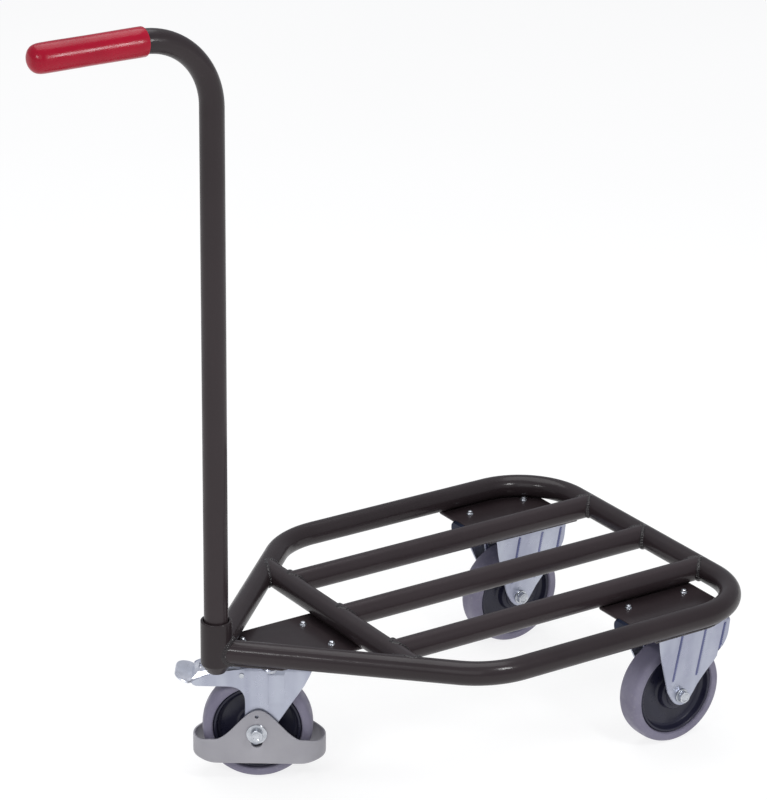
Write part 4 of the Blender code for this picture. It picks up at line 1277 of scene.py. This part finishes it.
def make_brake():
    """Foot lever with a stepped pedal, the eye it turns on, its pin, shoe and spring."""
    run = [
        Vector((0.0000, 0.0, 0.0042)),
        Vector((0.0300, 0.0, 0.0020)),
        Vector((0.0490, 0.0, -0.0018)),
        Vector((0.0572, 0.0, -0.0106)),
        Vector((0.0750, 0.0, -0.0051)),
    ]
    stations = bent_path(run, [0.03, 0.006, 0.0035], 8)
    lengths = [0.0]
    for (a, _, _), (b, _, _) in zip(stations, stations[1:]):
        lengths.append(lengths[-1] + (b - a).length)
    total = lengths[-1]

    def place(s, y):
        k = 0
        while k < len(stations) - 2 and lengths[k + 1] < s:
            k += 1
        share = (s - lengths[k]) / max(lengths[k + 1] - lengths[k], 1e-9)
        point = stations[k][0].lerp(stations[k + 1][0], share)
        way = stations[k][1].lerp(stations[k + 1][1], min(max(share, 0.0), 1.0)).normalized()
        normal = Vector((-way.z, 0.0, way.x))
        return Vector((point.x, y, point.z)) + normal * (LEVER_T / 2), normal

    step = total - 0.0210
    outline = [
        (0.0, -LEVER_HALF),
        (step, -LEVER_HALF),
        (step + 0.0020, -PEDAL_HALF + 0.0020),
    ]
    outline += arc(total - 0.0150, -PEDAL_HALF + 0.0150, 0.0150, -90, 0, 8)
    outline += arc(total - 0.0150, PEDAL_HALF - 0.0150, 0.0150, 0, 90, 8)
    outline += [
        (step + 0.0020, PEDAL_HALF - 0.0020),
        (step, LEVER_HALF),
        (0.0, LEVER_HALF),
    ]
    hole = [(0.0475 - x, y) for x, y in reversed(long_hole(0.0, 0.0, 0.0016, 0.0060))]
    pivot = swivel_place @ Matrix.Translation((PIVOT_X, 0.0, PIVOT_Z))
    lever = fine("brake_lever", sheet([outline, hole], LEVER_T, 0.0035, place), pivot, sharp=32)
    # The lever takes the lighter copy of the zinc: painted light on the pedal.
    lever.data.materials[0] = painted_light_zinc
    bore = PIN_R + GAP
    ends = LEVER_HALF - 0.001
    eye = [(bore, -ends), (EYE_R, -ends), (EYE_R, ends), (bore, ends)]
    add_piece("brake_lever_eye", across(turned(eye, 40, 0.0006)), "zinc", "brake", pivot)
    outside = FRONT_CHEEK_Y + GAP
    pin = [
        (0.0, -outside - 0.0010),
        (PIN_R, -outside - 0.0010),
        (PIN_R, outside),
        (PIN_R + 0.0015, outside),
        (PIN_R + 0.0015, outside + 0.0007),
        (PIN_R, outside + 0.0014),
        (0.0, outside + 0.0014),
    ]
    fine("brake_pivot_pin", across(turned(pin, 32, 0.0003, closed=False)), pivot)
    keep("brake_shoe", 0.0006)
    keep("brake_leaf_spring", 0.0002)


def make_castors():
    make_swivel_head()
    make_front_fork()
    make_guard()
    make_brake()
    place = Matrix.Translation(front_axle) @ front_turn
    make_wheel("front_castor", place)
    make_axle("front_castor", FRONT_CHEEK_Y, GUARD_OUTER_HALF, 0.0118, 1, place)
    for side in ("left", "right"):
        axle = Vector(joints[f"rear_{side}_wheel_spin"]["pos_m"])
        castor = f"rear_{side}_castor"
        make_rear_fork(castor, Matrix.Translation((axle.x, axle.y, 0.0)))
        make_wheel(castor, Matrix.Translation(axle))
        make_axle(castor, REAR_CHEEK_Y, REAR_CHEEK_Y, 0.0085, -1, Matrix.Translation(axle))
    make_castor_bolts()


# -------------------------------------------------------------------- studio


def area_light(name, location, target, width, height, power):
    light = bpy.data.lights.new(name, "AREA")
    light.shape = "RECTANGLE"
    light.size = width
    light.size_y = height
    light.energy = power
    lamp = bpy.data.objects.new(name, light)
    lamp.location = location
    lamp.rotation_euler = (Vector(target) - Vector(location)).to_track_quat("-Z", "Y").to_euler()
    bpy.context.scene.collection.objects.link(lamp)


def make_studio():
    """White floor, even pale surroundings, and soft boxes above and to both sides."""
    world = bpy.data.worlds.new("studio")
    bpy.context.scene.world = world
    world.use_nodes = True
    tree = world.node_tree
    background = tree.nodes["Background"]
    rays = tree.nodes.new("ShaderNodeLightPath")
    shade = tree.nodes.new("ShaderNodeMix")
    shade.data_type = "RGBA"
    shade.inputs[6].default_value = (0.42, 0.43, 0.46, 1.0)
    shade.inputs[7].default_value = (1.0, 1.0, 1.0, 1.0)
    tree.links.new(rays.outputs["Is Camera Ray"], shade.inputs["Factor"])
    tree.links.new(shade.outputs[2], background.inputs["Color"])

    bm = bmesh.new()
    bmesh.ops.create_grid(bm, x_segments=1, y_segments=1, size=30.0)
    mesh = bpy.data.meshes.new("studio_floor")
    bm.to_mesh(mesh)
    bm.free()
    look = Look("studio_floor", 0.9, specular=0.0)
    tone = look.blend(look.spread(look.pattern(0.8, 2.0), 0.3, 0.7), (0.22, 0.22, 0.22), (0.24, 0.24, 0.24))
    look.colour(tone)
    look.shader.inputs["Emission Color"].default_value = (1.0, 1.0, 1.0, 1.0)
    look.shader.inputs["Emission Strength"].default_value = 0.80
    mesh.materials.append(look.material)
    floor = bpy.data.objects.new("studio_floor", mesh)
    bpy.context.scene.collection.objects.link(floor)

    area_light("top_box", (0.2, 0.9, 3.4), (0.0, 0.1, 0.2), 2.8, 2.8, 62.0)
    area_light("front_box", (-2.4, -3.2, 2.6), (0.0, 0.0, 0.3), 2.4, 2.4, 22.0)
    area_light("right_strip", (0.24, -1.07, 1.22), (0.1, 0.0, 0.3), 0.26, 0.30, 7.0)
    area_light("left_strip", (-2.24, -0.94, 1.77), (0.1, 0.0, 0.2), 0.80, 0.22, 17.0)
    bpy.context.scene.view_settings.view_transform = "Standard"


def make_camera():
    """The camera stands to the right of the post and looks down at the cart."""
    data = bpy.data.cameras.new("camera")
    camera = bpy.data.objects.new("camera", data)
    azimuth = math.radians(-33.539)
    elevation = math.radians(21.595)
    roll = math.radians(0.602)
    back = Vector(
        (
            math.sin(azimuth) * math.cos(elevation),
            -math.cos(azimuth) * math.cos(elevation),
            math.sin(elevation),
        )
    )
    right = (-back).cross(UP).normalized()
    up = right.cross(-back)
    side = right * math.cos(roll) + up * math.sin(roll)
    top = up * math.cos(roll) - right * math.sin(roll)
    turn = Matrix((side, top, back)).transposed().to_4x4()
    camera.matrix_world = Matrix.Translation((-2.004228, -3.056783, 1.879651)) @ turn
    data.sensor_fit = "VERTICAL"
    data.sensor_height = 36.0
    data.lens = 159.75
    bpy.context.scene.collection.objects.link(camera)
    bpy.context.scene.camera = camera


make_camera()
make_studio()
make_frame_tubes()
make_socket()
make_plates()
make_handle()
make_castors()
